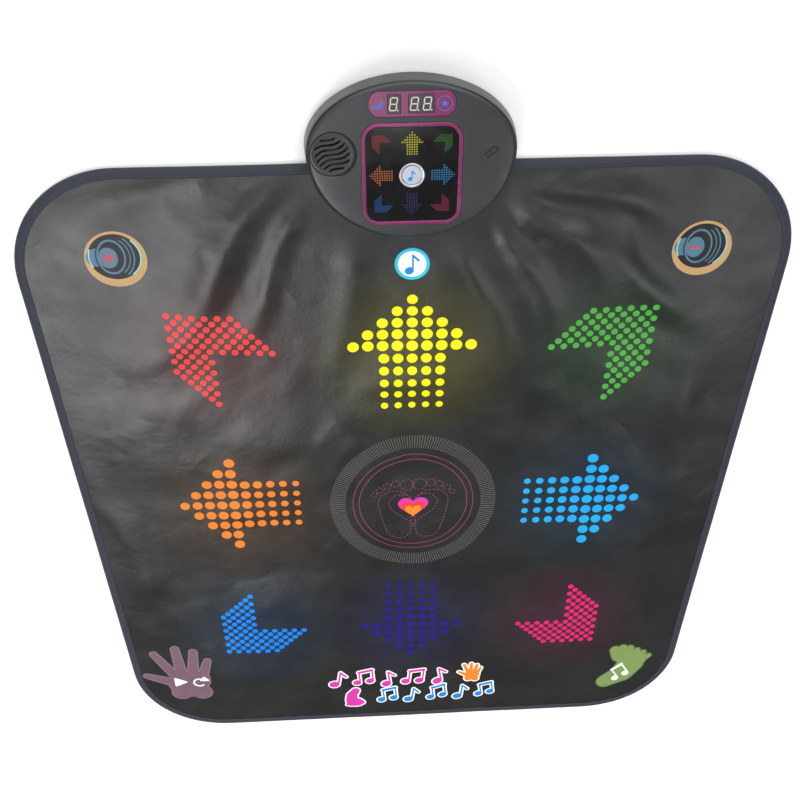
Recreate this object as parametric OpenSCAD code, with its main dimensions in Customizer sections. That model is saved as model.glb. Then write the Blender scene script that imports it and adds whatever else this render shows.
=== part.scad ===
/* [Mat] */
// Width of the mat at the console end
mat_w = 860; // [800:5:1000]
// Width of the mat at the far end
mat_front_w = 818; // [780:2:960]
// Length of the mat
mat_l = 920; // [860:5:1100]
// Radius of the two corners at the console end
rear_corner_r = 124; // [60:2:150]
// Radius of the two corners at the far end
front_corner_r = 130; // [60:2:160]
// Thickness of the non-slip base sheet, which the clamp plate shares
base_t = 1.6; // [1.2:0.1:3]
// Thickness of each contact film
film_t = 0.2; // [0.1:0.05:0.4]
// Thickness of the spacer foam
foam_t = 2.6; // [2.4:0.1:6]
// Thickness of the printed cover sheet
cover_t = 0.8; // [0.4:0.1:1.5]
// Width of the edge binding tape seen from above
binding_w = 11.5; // [8:0.5:16]
// Thickness of the edge binding tape
binding_t = 0.6; // [0.4:0.1:1]

/* [Press zones] */
// Sideways shift of the printed pattern from the mat's centre line
print_x = 6; // [-10:1:10]
// Lengthwise shift of the printed pattern from the mat's middle
print_y = -12; // [-20:1:20]
// Distance from the ring centre to the left and right arrow zones
arrow_x = 225; // [205:1:240]
// Distance from the ring centre to the front and rear arrow zones
arrow_y = 233; // [205:1:240]
// Sideways distance of the two rear corner arrow zones
rear_corner_x = 234; // [200:1:250]
// Sideways distance of the two front corner arrow zones
front_corner_x = 221; // [200:1:240]
// Lengthwise distance of the four corner arrow zones
corner_y = 236; // [215:1:250]
// Radius of the contact pad under a straight arrow
arrow_pad_r = 62; // [40:1:66]
// Radius of the contact pad under a corner arrow
corner_pad_r = 46; // [30:1:50]
// Radius of the contact pads under the two volume badges
volume_pad_r = 26; // [15:1:30]
// Radius of the contact pad under the wireless badge
badge_pad_r = 15; // [10:1:18]
// Radius of the contact pad under the hand print
hand_pad_r = 38; // [25:1:42]
// Radius of the contact pad under the foot print
foot_pad_r = 34; // [25:1:38]
// Thickness of a contact pad
pad_t = 1; // [0.6:0.1:1.2]
// Travel of a contact pad before it meets the lower film
pad_travel = 1.1; // [0.5:0.1:1.2]

/* [Console] */
// How far the console reaches past the mat's rear edge
overhang = 96; // [86:1:110]
// Width of the console at its parting line
console_w = 216; // [206:1:260]
// Depth of the console behind its widest line
console_rear = 72.5; // [70:0.5:85]
// Depth of the console in front of its widest line
console_front = 98; // [96:0.5:120]
// Height of the console's face above the floor
face_z = 42; // [42:0.5:55]
// Height of the parting line between the two shells
parting_z = 16; // [14:0.5:20]
// Wall thickness of both shells
wall = 2.4; // [1.6:0.1:3]
// Inset of the face outline from the parting outline, at the sides
face_inset = 4.7; // [4:0.1:8]

/* [Arrow panel] */
// Width of the panel frame
panel_w = 101; // [96:1:104]
// Length of the panel frame
panel_l = 108; // [100:1:110]
// Corner radius of the panel frame
panel_r = 17; // [10:1:20]
// Width of the coloured rim of the panel frame
rim_w = 4; // [3:0.5:5]
// Radius of the centre push button
button_r = 13; // [10:0.5:15]
// Radius of the icon disc inside the button ring
icon_r = 10; // [7:0.5:11]
// Travel of the push button
button_travel = 1.1; // [0.5:0.1:1.2]

/* [Display] */
// Width of the display lens
display_w = 85; // [74:1:90]
// Height of the display lens, front to back
display_h = 25; // [23:0.5:26]
// Corner radius of the display lens
display_r = 11; // [6:0.5:11.5]
// Width of a one-digit display module
digit_w = 12.6; // [10:0.1:12.8]
// Length of a display module
digit_l = 18.4; // [15:0.1:18.6]
// Height of a display module
digit_h = 8; // [6:0.1:8.5]

/* [Speaker] */
// Radius of the speaker grille disc
grille_r = 22.5; // [18:0.5:23]
// Sideways distance of the speaker from the console's centre line
speaker_x = 79; // [74:0.5:79]
// Number of wavy slots in the grille
slot_count = 7; // [3:1:8]
// Radius of the speaker driver's flange
driver_r = 19.5; // [15:0.5:20]

/* [Battery compartment] */
// Diameter of one battery
battery_d = 14.5; // [14.1:0.1:14.5]
// Length of one battery
battery_l = 50.5; // [49:0.5:50.5]
// Spacing of the four batteries
battery_pitch = 15; // [14.8:0.1:15.5]

/* [Fits] */
// Gap between a fixed piece and the opening that it drops into
fit_gap = 0.2; // [0.1:0.05:0.3]
// Gap between a moving piece and what it moves beside
slide_gap = 0.3; // [0.3:0.05:0.5]
// Radial gap between a screw and its hole
screw_gap = 0.05; // [0.03:0.01:0.1]

/* [Hidden] */

// Heights through the mat
lower_film_z = base_t;
foam_z = lower_film_z + film_t;
upper_film_z = foam_z + foam_t;
cover_z = upper_film_z + film_t;
mat_top = cover_z + cover_t;
binding_top = mat_top + binding_t;
pad_z = upper_film_z - slide_gap / 2 - pad_t;

// Places along the length, from the middle of the whole object
overall_l = mat_l + overhang;
mat_front_y = -overall_l / 2;
mat_rear_y = overall_l / 2 - overhang;
ring = [print_x, (mat_front_y + mat_rear_y) / 2 + print_y];

// Press zones: node name's index in this list, centre and pad radius
volume_at = [323.5, 364];
badge_at = [-3, 350];
hand_at = [-350, -323];
foot_at = [328, -356];
ZONES = [
    [[0, arrow_y], arrow_pad_r], [[0, -arrow_y], arrow_pad_r],
    [[-arrow_x, 0], arrow_pad_r], [[arrow_x, 0], arrow_pad_r],
    [[-rear_corner_x, corner_y], corner_pad_r], [[rear_corner_x, corner_y], corner_pad_r],
    [[-front_corner_x, -corner_y], corner_pad_r], [[front_corner_x, -corner_y], corner_pad_r],
    [[-volume_at[0], volume_at[1]], volume_pad_r], [volume_at, volume_pad_r],
    [badge_at, badge_pad_r], [hand_at, hand_pad_r], [foot_at, foot_pad_r]];
window_gap = 3;

// Console heights
console_y = overall_l / 2 - console_rear;
shell_z = binding_top + fit_gap;
floor_t = 2;
shell_floor = shell_z + floor_t;
face_t = 2.6;
face_under = face_z - face_t;
undercut = 6;
ledge_z = face_z - 1.4;

// Panel
panel_y = console_y - 22.5;
flange_w = 3;
flange_t = 0.8;
frame_top = face_z + 1;
lens_z = ledge_z + flange_t;
lens_t = 1.3;
opening_inset = rim_w + flange_w;
board_t = 1.6;
led_board_z = face_z - 9;
led_top = led_board_z + board_t;
board_margin = 1.5;
board_screw_in = [4.5, 4.5];
board_hole = [panel_w / 2 + board_margin - board_screw_in[0],
    panel_l / 2 - board_screw_in[1]];
baffle_gap = 0.2;
cell = [22, 25];
cell_at = [31, 34];

// Button
button_flange = 1.6;
button_top = face_z + 2;
button_flange_z = lens_z - fit_gap - 1;
stem_r = 3.5;
stem_z = button_flange_z - 1.4;
switch_top = stem_z - button_travel - fit_gap;

// Display
display_y = console_y + 50;
display_top = face_z + 0.2;
digit_top = ledge_z - fit_gap;
display_board_z = digit_top - digit_h - board_t;
display_board_w = 76;
display_board_l = 24;
ear_x = display_w / 2 + 1.5;
ear_y = display_y - 5.5;
level_x = -17.7;
score_x = 8.9;

// Speaker
grille_z = face_z - 3.1;
grille_t = 1.5;
seat_z = grille_z - 3;
gasket_t = 0.5;
flange_h = 1.2;
flange_z = seat_z - gasket_t - flange_h;
basket_h = 4.8;
magnet_r = 10;
magnet_h = 6;

// Battery compartment: four cells side by side across the console
battery_y = console_y + 22;
bay = [battery_l + 8, 3 * battery_pitch + battery_d + 1.4];
tray_wall = 1.6;
battery_axis_z = shell_floor + 0.4 + battery_d / 2;
tray_ceiling = battery_axis_z + battery_d / 2 + 0.4;
tray_top = tray_ceiling + tray_wall;
door_lip = 3;
door_screw_tab = 12;
door = [bay[0] + 2 * door_lip, bay[1] + door_lip];
door_screw_y = battery_y - bay[1] / 2 - door_screw_tab / 2;
door_t = 1.2;

// Fasteners
screw_r = 1.45;
screw_head_r = 2.9;
screw_head_h = 2;
small_screw_r = 1;
small_head_r = 2;
boss_r = 3.6;
HOUSING = [[-84, -36], [84, -36], [-66, 36], [66, 36], [0, -83.5]];
CLAMP = [[-46, -68], [46, -68], [-62, -46], [62, -46]];
FEET = [[-58, 46], [58, 46], [-88, -7], [88, -7]];
foot_r = 7;
plug_r = 3;
plate = [140, 38];
plate_y = console_y - 57;
tail_w = 26;
tail_t = 0.3;
tail_y = console_y - 52;
tail_foot = 12;
switch_at = [62, 12];
knob = 4;
knob_travel = 4;
knob_drop = 1.4;
slot = [knob + knob_travel + 2 * slide_gap, knob + 2 * slide_gap];

eps = 0.01;
arc_steps = 14;
egg_steps = 64;
$fn = 48;

// Angle of the outward normal of the mat's right side, which touches both corner circles
side_dx = (mat_w - mat_front_w) / 2 - rear_corner_r + front_corner_r;
side_dy = mat_l - rear_corner_r - front_corner_r;
side_run = sqrt(side_dx * side_dx + side_dy * side_dy);
side_a = atan2(side_dy, side_dx) - acos((front_corner_r - rear_corner_r) / side_run);

function arc(c, r, from, to) =
    [for (i = [0 : arc_steps]) let (a = from + (to - from) * i / arc_steps)
        c + r * [cos(a), sin(a)]];

// Outline of the mat, drawn in by a given distance
function outline(inset) =
    let (rx = mat_w / 2 - rear_corner_r, ry = mat_rear_y - rear_corner_r,
        fx = mat_front_w / 2 - front_corner_r, fy = mat_front_y + front_corner_r)
    concat(arc([rx, ry], rear_corner_r - inset, side_a, 90),
        arc([-rx, ry], rear_corner_r - inset, 90, 180 - side_a),
        arc([-fx, fy], front_corner_r - inset, 180 - side_a, 270),
        arc([fx, fy], front_corner_r - inset, 270, 360 + side_a));

module sheet(inset, z, t)
    translate([0, 0, z]) linear_extrude(t) polygon(outline(inset));

module slab(size, r, z, t)
    translate([0, 0, z]) linear_extrude(t) rounded(size, r);

module rounded(size, r) {
    square([size[0] - 2 * r, size[1]], center = true);
    square([size[0], size[1] - 2 * r], center = true);
    for (x = [-1, 1], y = [-1, 1])
        translate([x * (size[0] / 2 - r), y * (size[1] / 2 - r)]) circle(r);
}

// One level of a console shell: s runs from the parting outline, 0, to the face outline, 1
function egg_ring(s, inset, z) =
    let (a = console_w / 2 - s * face_inset - inset,
        rear = console_rear - s * face_inset * 0.35 - inset,
        front = console_front - s * face_inset * 1.2 - inset)
    [for (i = [0 : egg_steps - 1]) let (t = 360 * i / egg_steps)
        [a * cos(t), console_y + (sin(t) > 0 ? rear : front) * sin(t), z]];

// Solid through a list of levels [s, inset, z]
module egg_loft(levels) {
    n = egg_steps;
    last = len(levels) - 1;
    polyhedron(
        points = [for (l = levels) each egg_ring(l[0], l[1], l[2])],
        faces = concat([[for (i = [0 : n - 1]) i]],
            [for (k = [0 : last - 1], i = [0 : n - 1]) [k * n + i, (k + 1) * n + i, k * n + (i + 1) % n]],
            [for (k = [0 : last - 1], i = [0 : n - 1])
                [(k + 1) * n + i, (k + 1) * n + (i + 1) % n, k * n + (i + 1) % n]],
            [[for (i = [n - 1 : -1 : 0]) last * n + i]]));
}

// Places given from the middle of the console's widest line
module at_console(places)
    for (p = places) translate([p[0], console_y + p[1]]) children();

module clamp_holes(z, t, r)
    at_console(CLAMP) translate([0, 0, z - eps]) cylinder(t + 2 * eps, r = r);

module zone_windows(z, t)
    for (zone = ZONES) translate([ring[0] + zone[0][0], ring[1] + zone[0][1], z - eps])
        cylinder(t + 2 * eps, r = zone[1] + window_gap);

module contact_pad(i)
    color("dimgray")
        translate([ring[0] + ZONES[i][0][0], ring[1] + ZONES[i][0][1], pad_z])
            cylinder(pad_t, r = ZONES[i][1]);

module anti_slip_base()
    color("#2b2d30") difference() {
        union() {
            sheet(binding_t, binding_t, base_t - binding_t);
            sheet(binding_w + fit_gap, 0, base_t);
        }
        translate([0, plate_y]) slab([plate[0] + 2 * fit_gap, plate[1] + 2 * fit_gap],
            6 + fit_gap, -eps, base_t + 2 * eps);
    }

module lower_film()
    color("silver") difference() {
        sheet(binding_w + fit_gap, lower_film_z, film_t);
        clamp_holes(lower_film_z, film_t, screw_r + fit_gap);
    }

module spacer_foam()
    color("#4a4c50") difference() {
        sheet(binding_t, foam_z, foam_t);
        zone_windows(foam_z, foam_t);
        clamp_holes(foam_z, foam_t, screw_r + fit_gap);
    }

module upper_film()
    color("silver") difference() {
        sheet(binding_w + fit_gap, upper_film_z, film_t);
        clamp_holes(upper_film_z, film_t, screw_r + fit_gap);
    }

module printed_cover()
    color("#202124") difference() {
        sheet(binding_t, cover_z, cover_t);
        clamp_holes(cover_z, cover_t, screw_r + fit_gap);
        translate([0, tail_y - tail_foot / 2])
            slab([tail_w + 2 * fit_gap, tail_foot + 2 * fit_gap], 0.5, cover_z - eps,
                cover_t + 2 * eps);
    }

module binding_leg(inset, z, t)
    translate([0, 0, z]) linear_extrude(t) difference() {
        polygon(outline(0));
        polygon(outline(inset));
    }

module edge_binding()
    color("#20283c") {
        binding_leg(binding_w, 0, binding_t);
        binding_leg(binding_t, binding_t, mat_top - binding_t);
        binding_leg(binding_w, mat_top, binding_t);
    }

// Printed circuit tail: a foot on the upper film and a riser into the connector
module flex_tail()
    color("orange") translate([-tail_w / 2, tail_y]) {
        translate([0, -tail_foot, cover_z]) cube([tail_w, tail_foot, tail_t]);
        translate([0, -tail_t, cover_z]) cube([tail_w, tail_t, led_board_z - 1 - cover_z]);
    }

module clamp_plate()
    color("gray") difference() {
        translate([0, plate_y]) slab(plate, 6, 0, base_t);
        clamp_holes(0, base_t, screw_r + screw_gap);
        clamp_holes(0, 1, screw_head_r + fit_gap);
    }

module clamp_screws()
    color("silver") at_console(CLAMP) {
        translate([0, 0, 0.2]) cylinder(1 - 0.2, r = screw_head_r);
        translate([0, 0, 0.2]) cylinder(shell_floor + 5.5 - 0.2, r = screw_r);
    }

module lower_shell()
    color("#3d3f42") difference() {
        union() {
            difference() {
                egg_loft([[0, undercut, shell_z], [0, 1.5, shell_z + 4], [0, 0, parting_z]]);
                egg_loft([[0, undercut + wall, shell_floor], [0, wall + 1.5, shell_floor + 3.5],
                    [0, wall, parting_z + 1]]);
            }
            at_console(HOUSING) translate([0, 0, shell_z]) cylinder(parting_z - shell_z, r = boss_r + 1);
            at_console(CLAMP) translate([0, 0, mat_top]) cylinder(shell_floor + 6 - mat_top, r = boss_r);
            at_console(CLAMP) translate([0, 0, mat_top]) cylinder(shell_floor - mat_top, r = 6);
            translate([0, door_screw_y, shell_z])
                cylinder(parting_z - shell_z, r = boss_r + 0.4);
        }
        at_console(HOUSING) {
            translate([0, 0, shell_z - 1]) cylinder(1 + 2 + screw_head_h, r = screw_head_r + fit_gap);
            translate([0, 0, shell_z]) cylinder(parting_z, r = screw_r + screw_gap);
        }
        at_console(CLAMP) translate([0, 0, mat_top - 1]) cylinder(20, r = screw_r + screw_gap);
        at_console(FEET) translate([0, 0, shell_z - 1]) cylinder(floor_t + 2, r = plug_r);
        door_cut();
        translate([0, door_screw_y, shell_z])
            cylinder(20, r = screw_r + 0.6);
        translate([0, tail_y - tail_t / 2]) slab([tail_w + 2, tail_t + 2], 1, shell_z - 1, floor_t + 2);
        translate([switch_at[0], console_y + switch_at[1]])
            slab(slot, 0.5, shell_z - 1, floor_t + 2);
    }

// Opening for the battery door with the ledge that its edge rests against
module door_cut() {
    translate([0, battery_y]) slab([bay[0] - 2, bay[1] - 2], 1, shell_z - 1, floor_t + 2);
    translate([0, battery_y]) slab([door[0] + 2 * slide_gap, door[1] + 2 * slide_gap], 3,
        shell_z - 1, 1 + door_t + slide_gap);
    translate([0, door_screw_y])
        slab([2 * door_screw_tab + 2 * slide_gap, door_screw_tab + 4 + 2 * slide_gap], 4,
            shell_z - 1, 1 + door_t + slide_gap);
}

module battery_door()
    color("#3a3c3f") difference() {
        union() {
            translate([0, battery_y]) slab(door, 3, shell_z, door_t);
            translate([0, door_screw_y])
                slab([2 * door_screw_tab, door_screw_tab + 4], 4, shell_z, door_t);
            translate([0, battery_y])
                slab([bay[0] - 2 - 2 * slide_gap, bay[1] - 6], 1, shell_z + door_t - eps, floor_t - door_t);
        }
        translate([0, door_screw_y, shell_z - 1])
            cylinder(4, r = screw_r + screw_gap);
    }

module door_screw()
    color("silver") translate([0, door_screw_y]) {
        translate([0, 0, shell_z - 1.6]) cylinder(1.6, r = screw_head_r);
        translate([0, 0, shell_z - 1]) cylinder(7, r = screw_r);
    }

module upper_shell()
    color("#4b4d50") difference() {
        union() {
            difference() {
                egg_loft([[0, 0, parting_z], [0.45, 0, face_z - 6.4], [0.6, 0, face_z - 4.6],
                    [0.72, 0.3, face_z - 4.2], [0.72, 0.5, face_z - 5.6], [1, 0, face_z - 5.6],
                    [1, 0.1, face_z - 2.2], [1, 0.9, face_z - 1.4], [1, 6, face_z - 0.6],
                    [1, 14, face_z - 0.1], [1, 30, face_z]]);
                egg_loft([[0, wall, parting_z - 1], [0.45, wall, face_z - 9], [1, wall + 0.4, face_z - 5.6],
                    [1, 6, face_under - 0.5], [1, 14, face_under]]);
            }
            at_console(HOUSING) translate([0, 0, parting_z])
                cylinder(face_under + 0.5 - parting_z, r = boss_r);
            for (x = [-1, 1], y = [-1, 1]) translate([x * board_hole[0], panel_y + y * board_hole[1], led_top])
                cylinder(face_under + 0.5 - led_top, r = boss_r - 0.6);
            for (x = [-1, 1]) translate([x * ear_x, ear_y, display_board_z + board_t])
                cylinder(face_under + 0.5 - display_board_z - board_t, r = boss_r - 0.6);
            translate([-speaker_x, console_y, seat_z]) cylinder(grille_z + 0.5 - seat_z, r = grille_r + 1);
        }
        at_console(HOUSING) translate([0, 0, parting_z - 1]) cylinder(16, r = screw_r + screw_gap);
        for (x = [-1, 1], y = [-1, 1]) translate([x * board_hole[0], panel_y + y * board_hole[1], led_top - 1])
            cylinder(5, r = small_screw_r + screw_gap);
        for (x = [-1, 1]) translate([x * ear_x, ear_y, display_board_z])
            cylinder(7, r = small_screw_r + screw_gap);
        translate([0, panel_y]) {
            slab([panel_w + 2 * fit_gap, panel_l + 2 * fit_gap], panel_r + fit_gap, ledge_z, 5);
            slab([panel_w - 2 * opening_inset + 2, panel_l - 2 * opening_inset + 2],
                panel_r - opening_inset + 1, face_under - 5, 9);
        }
        translate([0, display_y]) {
            slab([display_w + 2 * fit_gap, display_h + 2 * fit_gap], display_r + fit_gap, ledge_z, 5);
            slab([display_w - 6, display_h - 6], display_r - 3, face_under - 2, 9);
        }
        translate([-speaker_x, console_y, grille_z]) cylinder(9, r = grille_r + fit_gap);
        translate([-speaker_x, console_y, seat_z - 1]) cylinder(9, r = grille_r - 4);
        translate([speaker_x, console_y]) rotate(45) stick_icon();
    }

// Shallow outline of a memory stick, pressed into the face
module stick_icon()
    translate([0, 0, face_z - 1.1]) linear_extrude(3) {
        difference() {
            rounded([13, 6], 1.2);
            rounded([11.4, 4.4], 0.6);
        }
        translate([2.2, 0]) difference() {
            square([4.6, 3], center = true);
            square([3, 1.4], center = true);
        }
    }

module housing_screws()
    color("silver") at_console(HOUSING) {
        translate([0, 0, shell_z + 2]) cylinder(screw_head_h, r = screw_head_r);
        translate([0, 0, shell_z + 2]) cylinder(parting_z + 13 - shell_z - 2, r = screw_r);
    }

module rubber_feet()
    color("#1c1c1c") at_console(FEET) {
        cylinder(shell_z, r = foot_r);
        cylinder(shell_floor, r = plug_r - screw_gap);
    }

module panel_frame()
    color("#b0207a") translate([0, panel_y]) difference() {
        slab([panel_w, panel_l], panel_r, ledge_z, frame_top - ledge_z);
        slab([panel_w - 2 * rim_w, panel_l - 2 * rim_w], panel_r - rim_w, lens_z, 9);
        slab([panel_w - 2 * opening_inset, panel_l - 2 * opening_inset],
            panel_r - opening_inset, ledge_z - 1, 9);
    }

module arrow_panel()
    color("#101013") translate([0, panel_y]) difference() {
        slab([panel_w - 2 * rim_w - 2 * fit_gap, panel_l - 2 * rim_w - 2 * fit_gap],
            panel_r - rim_w - fit_gap, lens_z, lens_t);
        translate([0, 0, lens_z - 1]) cylinder(9, r = button_r + slide_gap);
    }

module button_ring()
    color("silver") translate([0, panel_y]) difference() {
        union() {
            translate([0, 0, button_flange_z]) cylinder(1, r = button_r + button_flange);
            translate([0, 0, button_flange_z]) cylinder(button_top - 0.6 - button_flange_z, r = button_r);
            translate([0, 0, stem_z]) cylinder(button_flange_z - stem_z + eps, r = stem_r);
        }
        translate([0, 0, button_top - 2]) cylinder(9, r = icon_r + screw_gap);
    }

module button_icon()
    color("white") translate([0, panel_y, button_top - 2]) cylinder(2, r = icon_r);

module tact_switch()
    color("#222222") translate([0, panel_y]) {
        translate([-3, -3, led_top]) cube([6, 6, switch_top - led_top - 0.6]);
        translate([0, 0, switch_top - 0.6 - eps]) cylinder(0.6 + eps, r = 1.7);
    }

module light_baffle()
    color("#26262a") translate([0, panel_y]) difference() {
        slab([panel_w - 2 * opening_inset - 1, panel_l - 2 * opening_inset - 1],
            panel_r - opening_inset - 0.5, led_top, lens_z - baffle_gap - led_top);
        translate([0, 0, led_top - 1]) cylinder(20, r = button_r + button_flange + 2 * slide_gap);
        for (i = [-1 : 1], j = [-1 : 1]) if (i != 0 || j != 0)
            translate([i * cell_at[0], j * cell_at[1]]) slab(cell, 2, led_top - 1, 20);
    }

module arrow_leds()
    color("#f4f0d8") for (i = [-1 : 1], j = [-1 : 1], k = [-1 : 1]) if (i != 0 || j != 0)
        translate([i * cell_at[0] + 6 * k - 1.75, panel_y + j * cell_at[1] - 1.4, led_top])
            cube([3.5, 2.8, 1.4]);

module led_board()
    color("#1f6b3a") difference() {
        translate([0, panel_y]) slab([panel_w + 2 * board_margin, panel_l], 3, led_board_z, board_t);
        for (x = [-1, 1], y = [-1, 1])
            translate([x * board_hole[0], panel_y + y * board_hole[1], led_board_z - 1])
                cylinder(4, r = small_screw_r + screw_gap);
    }

module controller_chip()
    color("#111111") translate([24, panel_y + 12, led_board_z - 1.4]) cylinder(1.4, r = 9);

module flex_connector()
    color("#e8e4d6") difference() {
        translate([-tail_w / 2 - 3, tail_y - 2.6, led_board_z - 4]) cube([tail_w + 6, 5, 4]);
        translate([-tail_w / 2 - 0.5, tail_y - tail_t - 0.1, led_board_z - 5])
            cube([tail_w + 1, tail_t + 0.2, 4.2]);
    }

module board_screws()
    color("silver") {
        for (x = [-1, 1], y = [-1, 1])
            translate([x * board_hole[0], panel_y + y * board_hole[1], led_board_z]) small_screw();
        for (x = [-1, 1]) translate([x * ear_x, ear_y, display_board_z]) small_screw();
    }

// Head below a board's underside, shank up through it
module small_screw() {
    translate([0, 0, -1.4]) cylinder(1.4, r = small_head_r);
    translate([0, 0, -1.4]) cylinder(1.4 + board_t + 3.6, r = small_screw_r);
}

module display_lens()
    color("#c03090", 0.7) translate([0, display_y])
        slab([display_w, display_h], display_r, ledge_z, display_top - ledge_z);

module digit_module(x, w)
    color("#1b1b1e") translate([x - w / 2, display_y - digit_l / 2, digit_top - digit_h])
        cube([w, digit_l, digit_h]);

module level_digit() digit_module(level_x, digit_w);

module score_digits() digit_module(score_x, 2 * digit_w);

module display_board()
    color("#1f6b3a") difference() {
        union() {
            translate([0, display_y]) slab([display_board_w, display_board_l], 3, display_board_z, board_t);
            translate([0, ear_y]) slab([2 * ear_x + 7, 7], 3.4, display_board_z, board_t);
        }
        for (x = [-1, 1]) translate([x * ear_x, ear_y, display_board_z - 1])
            cylinder(4, r = small_screw_r + screw_gap);
    }

// Flat cable that links the undersides of the two boards
module board_link() {
    from = panel_y + panel_l / 2 - 4;
    to = display_y - display_board_l / 2 + 3;
    low = display_board_z - 2;
    color("lightgray") translate([-6, 0]) {
        translate([0, from - 0.8, low]) cube([12, 0.8, led_board_z - low]);
        translate([0, from - 0.8, low]) cube([12, to - from + 1.6, 0.8]);
        translate([0, to, low]) cube([12, 0.8, display_board_z - low]);
    }
}

// One wavy slot of the grille, cut to the disc by the caller
function wave(x) = 1.9 * sin(x * 9) + 0.12 * x;
module wavy_slot(y, half, t) {
    n = 16;
    xs = [for (i = [0 : n]) -half + 2 * half * i / n];
    translate([0, y]) polygon(concat([for (x = xs) [x, wave(x) + t / 2]],
        [for (i = [n : -1 : 0]) [xs[i], wave(xs[i]) - t / 2]]));
}

module speaker_grille()
    color("#2e3033") translate([-speaker_x, console_y, grille_z]) difference() {
        cylinder(grille_t, r = grille_r);
        translate([0, 0, -1]) linear_extrude(9) for (i = [0 : slot_count - 1])
            let (pitch = 1.5 * grille_r / slot_count, y = (i - (slot_count - 1) / 2) * pitch)
                wavy_slot(y, sqrt(pow(grille_r - 5, 2) - y * y), pitch * 0.42);
    }

module speaker_gasket()
    color("#333333") translate([-speaker_x, console_y, seat_z - gasket_t]) difference() {
        cylinder(gasket_t, r = driver_r);
        translate([0, 0, -1]) cylinder(9, r = driver_r - 2.5);
    }

module speaker_driver()
    color("#6a6c70") translate([-speaker_x, console_y, flange_z]) difference() {
        union() {
            cylinder(flange_h, r = driver_r);
            translate([0, 0, -basket_h]) cylinder(basket_h + eps, magnet_r + 2, driver_r - 3);
            translate([0, 0, -basket_h - magnet_h]) cylinder(magnet_h + eps, r = magnet_r);
        }
        translate([0, 0, -basket_h + 2]) cylinder(basket_h + flange_h, magnet_r - 4, driver_r - 3.6);
    }

module run(from, to, r) {
    v = to - from;
    l = norm(v);
    translate(from) rotate([0, acos(v[2] / l), atan2(v[1], v[0])]) cylinder(l, r = r, $fn = 16);
}

// A pair of thin wires, each along three points
module wire_pair(a, b, c, r, gap)
    for (s = [0, 1]) let (d = [0, s * gap, 0]) {
        run(a + d, b + d, r);
        translate(b + d) sphere(r, $fn = 16);
        run(b + d, c + d, r);
    }

module speaker_wires()
    color("red") wire_pair([-speaker_x + magnet_r + 0.1, console_y - 1.2, flange_z - basket_h - 3],
        [-panel_w / 2 + 6, console_y - 1.2, flange_z - basket_h - 3],
        [-panel_w / 2 + 6, console_y - 1.2, led_board_z], 0.7, 2.4);

module battery_tray()
    color("#2c2e31") difference() {
        translate([0, battery_y]) slab([bay[0] + 2 * tray_wall, bay[1] + 2 * tray_wall], 2,
            shell_floor, tray_top - shell_floor);
        translate([0, battery_y]) slab(bay, 1, shell_floor - 1, tray_ceiling - shell_floor + 1);
    }

module each_battery()
    for (i = [0 : 3]) translate([0, battery_y + (i - 1.5) * battery_pitch, battery_axis_z])
        mirror([i % 2, 0, 0]) children();

module batteries()
    color("#c9a227") each_battery() rotate([0, 90, 0]) {
        translate([0, 0, -battery_l / 2]) cylinder(battery_l - 1.5, r = battery_d / 2);
        translate([0, 0, battery_l / 2 - 1.5]) cylinder(1.5, r = 2.7);
    }

// A flat plate at each button end and a spring cup at each flat end
module battery_contacts()
    color("silver") each_battery() {
        translate([bay[0] / 2 - 0.5, -5, -5]) cube([0.5, 10, 10]);
        translate([battery_l / 2, 0, 0]) rotate([0, 90, 0])
            cylinder(bay[0] / 2 - battery_l / 2 - 0.5, r = 2.5);
        translate([-bay[0] / 2, -5, -5]) cube([0.5, 10, 10]);
        translate([-bay[0] / 2 + 0.5, 0, 0]) rotate([0, 90, 0])
            cylinder(bay[0] / 2 - battery_l / 2 - 0.5, 4, 2.5);
    }

module battery_wires()
    color("black") wire_pair([bay[0] / 2 + tray_wall, display_y - 8, tray_top - 4],
        [bay[0] / 2 + tray_wall + 2, display_y - 8, tray_top - 4],
        [bay[0] / 2 + tray_wall + 2, display_y - 8, display_board_z], 0.7, 2.4);

module switch_body()
    color("#9a9c9e") translate([switch_at[0], console_y + switch_at[1]]) difference() {
        slab([slot[0] + 4, slot[1] + 3], 0.5, shell_floor, 6);
        slab(slot, 0.4, shell_floor - 1, 3);
    }

module switch_knob()
    color("#151515")
        translate([switch_at[0] - knob_travel / 2, console_y + switch_at[1]])
            slab([knob, knob], 0.5, shell_z - knob_drop, knob_drop + floor_t + 1.6);

anti_slip_base();
lower_film();
spacer_foam();
upper_film();
printed_cover();
edge_binding();
contact_pad(0);  // pad_rear
contact_pad(1);  // pad_front
contact_pad(2);  // pad_left
contact_pad(3);  // pad_right
contact_pad(4);  // pad_rear_left
contact_pad(5);  // pad_rear_right
contact_pad(6);  // pad_front_left
contact_pad(7);  // pad_front_right
contact_pad(8);  // pad_volume_up
contact_pad(9);  // pad_volume_down
contact_pad(10);  // pad_wireless
contact_pad(11);  // pad_hand
contact_pad(12);  // pad_foot
flex_tail();
clamp_plate();
clamp_screws();
lower_shell();
upper_shell();
housing_screws();
rubber_feet();
panel_frame();
arrow_panel();
button_ring();
button_icon();
tact_switch();
light_baffle();
arrow_leds();
led_board();
controller_chip();
flex_connector();
board_screws();
display_lens();
level_digit();
score_digits();
display_board();
board_link();
speaker_grille();
speaker_gasket();
speaker_driver();
speaker_wires();
battery_tray();
batteries();
battery_contacts();
battery_wires();
battery_door();
door_screw();
switch_body();
switch_knob();
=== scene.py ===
import bpy
import bmesh
import math
import numpy as np
from mathutils import Matrix, Vector
from mathutils.bvhtree import BVHTree


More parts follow.
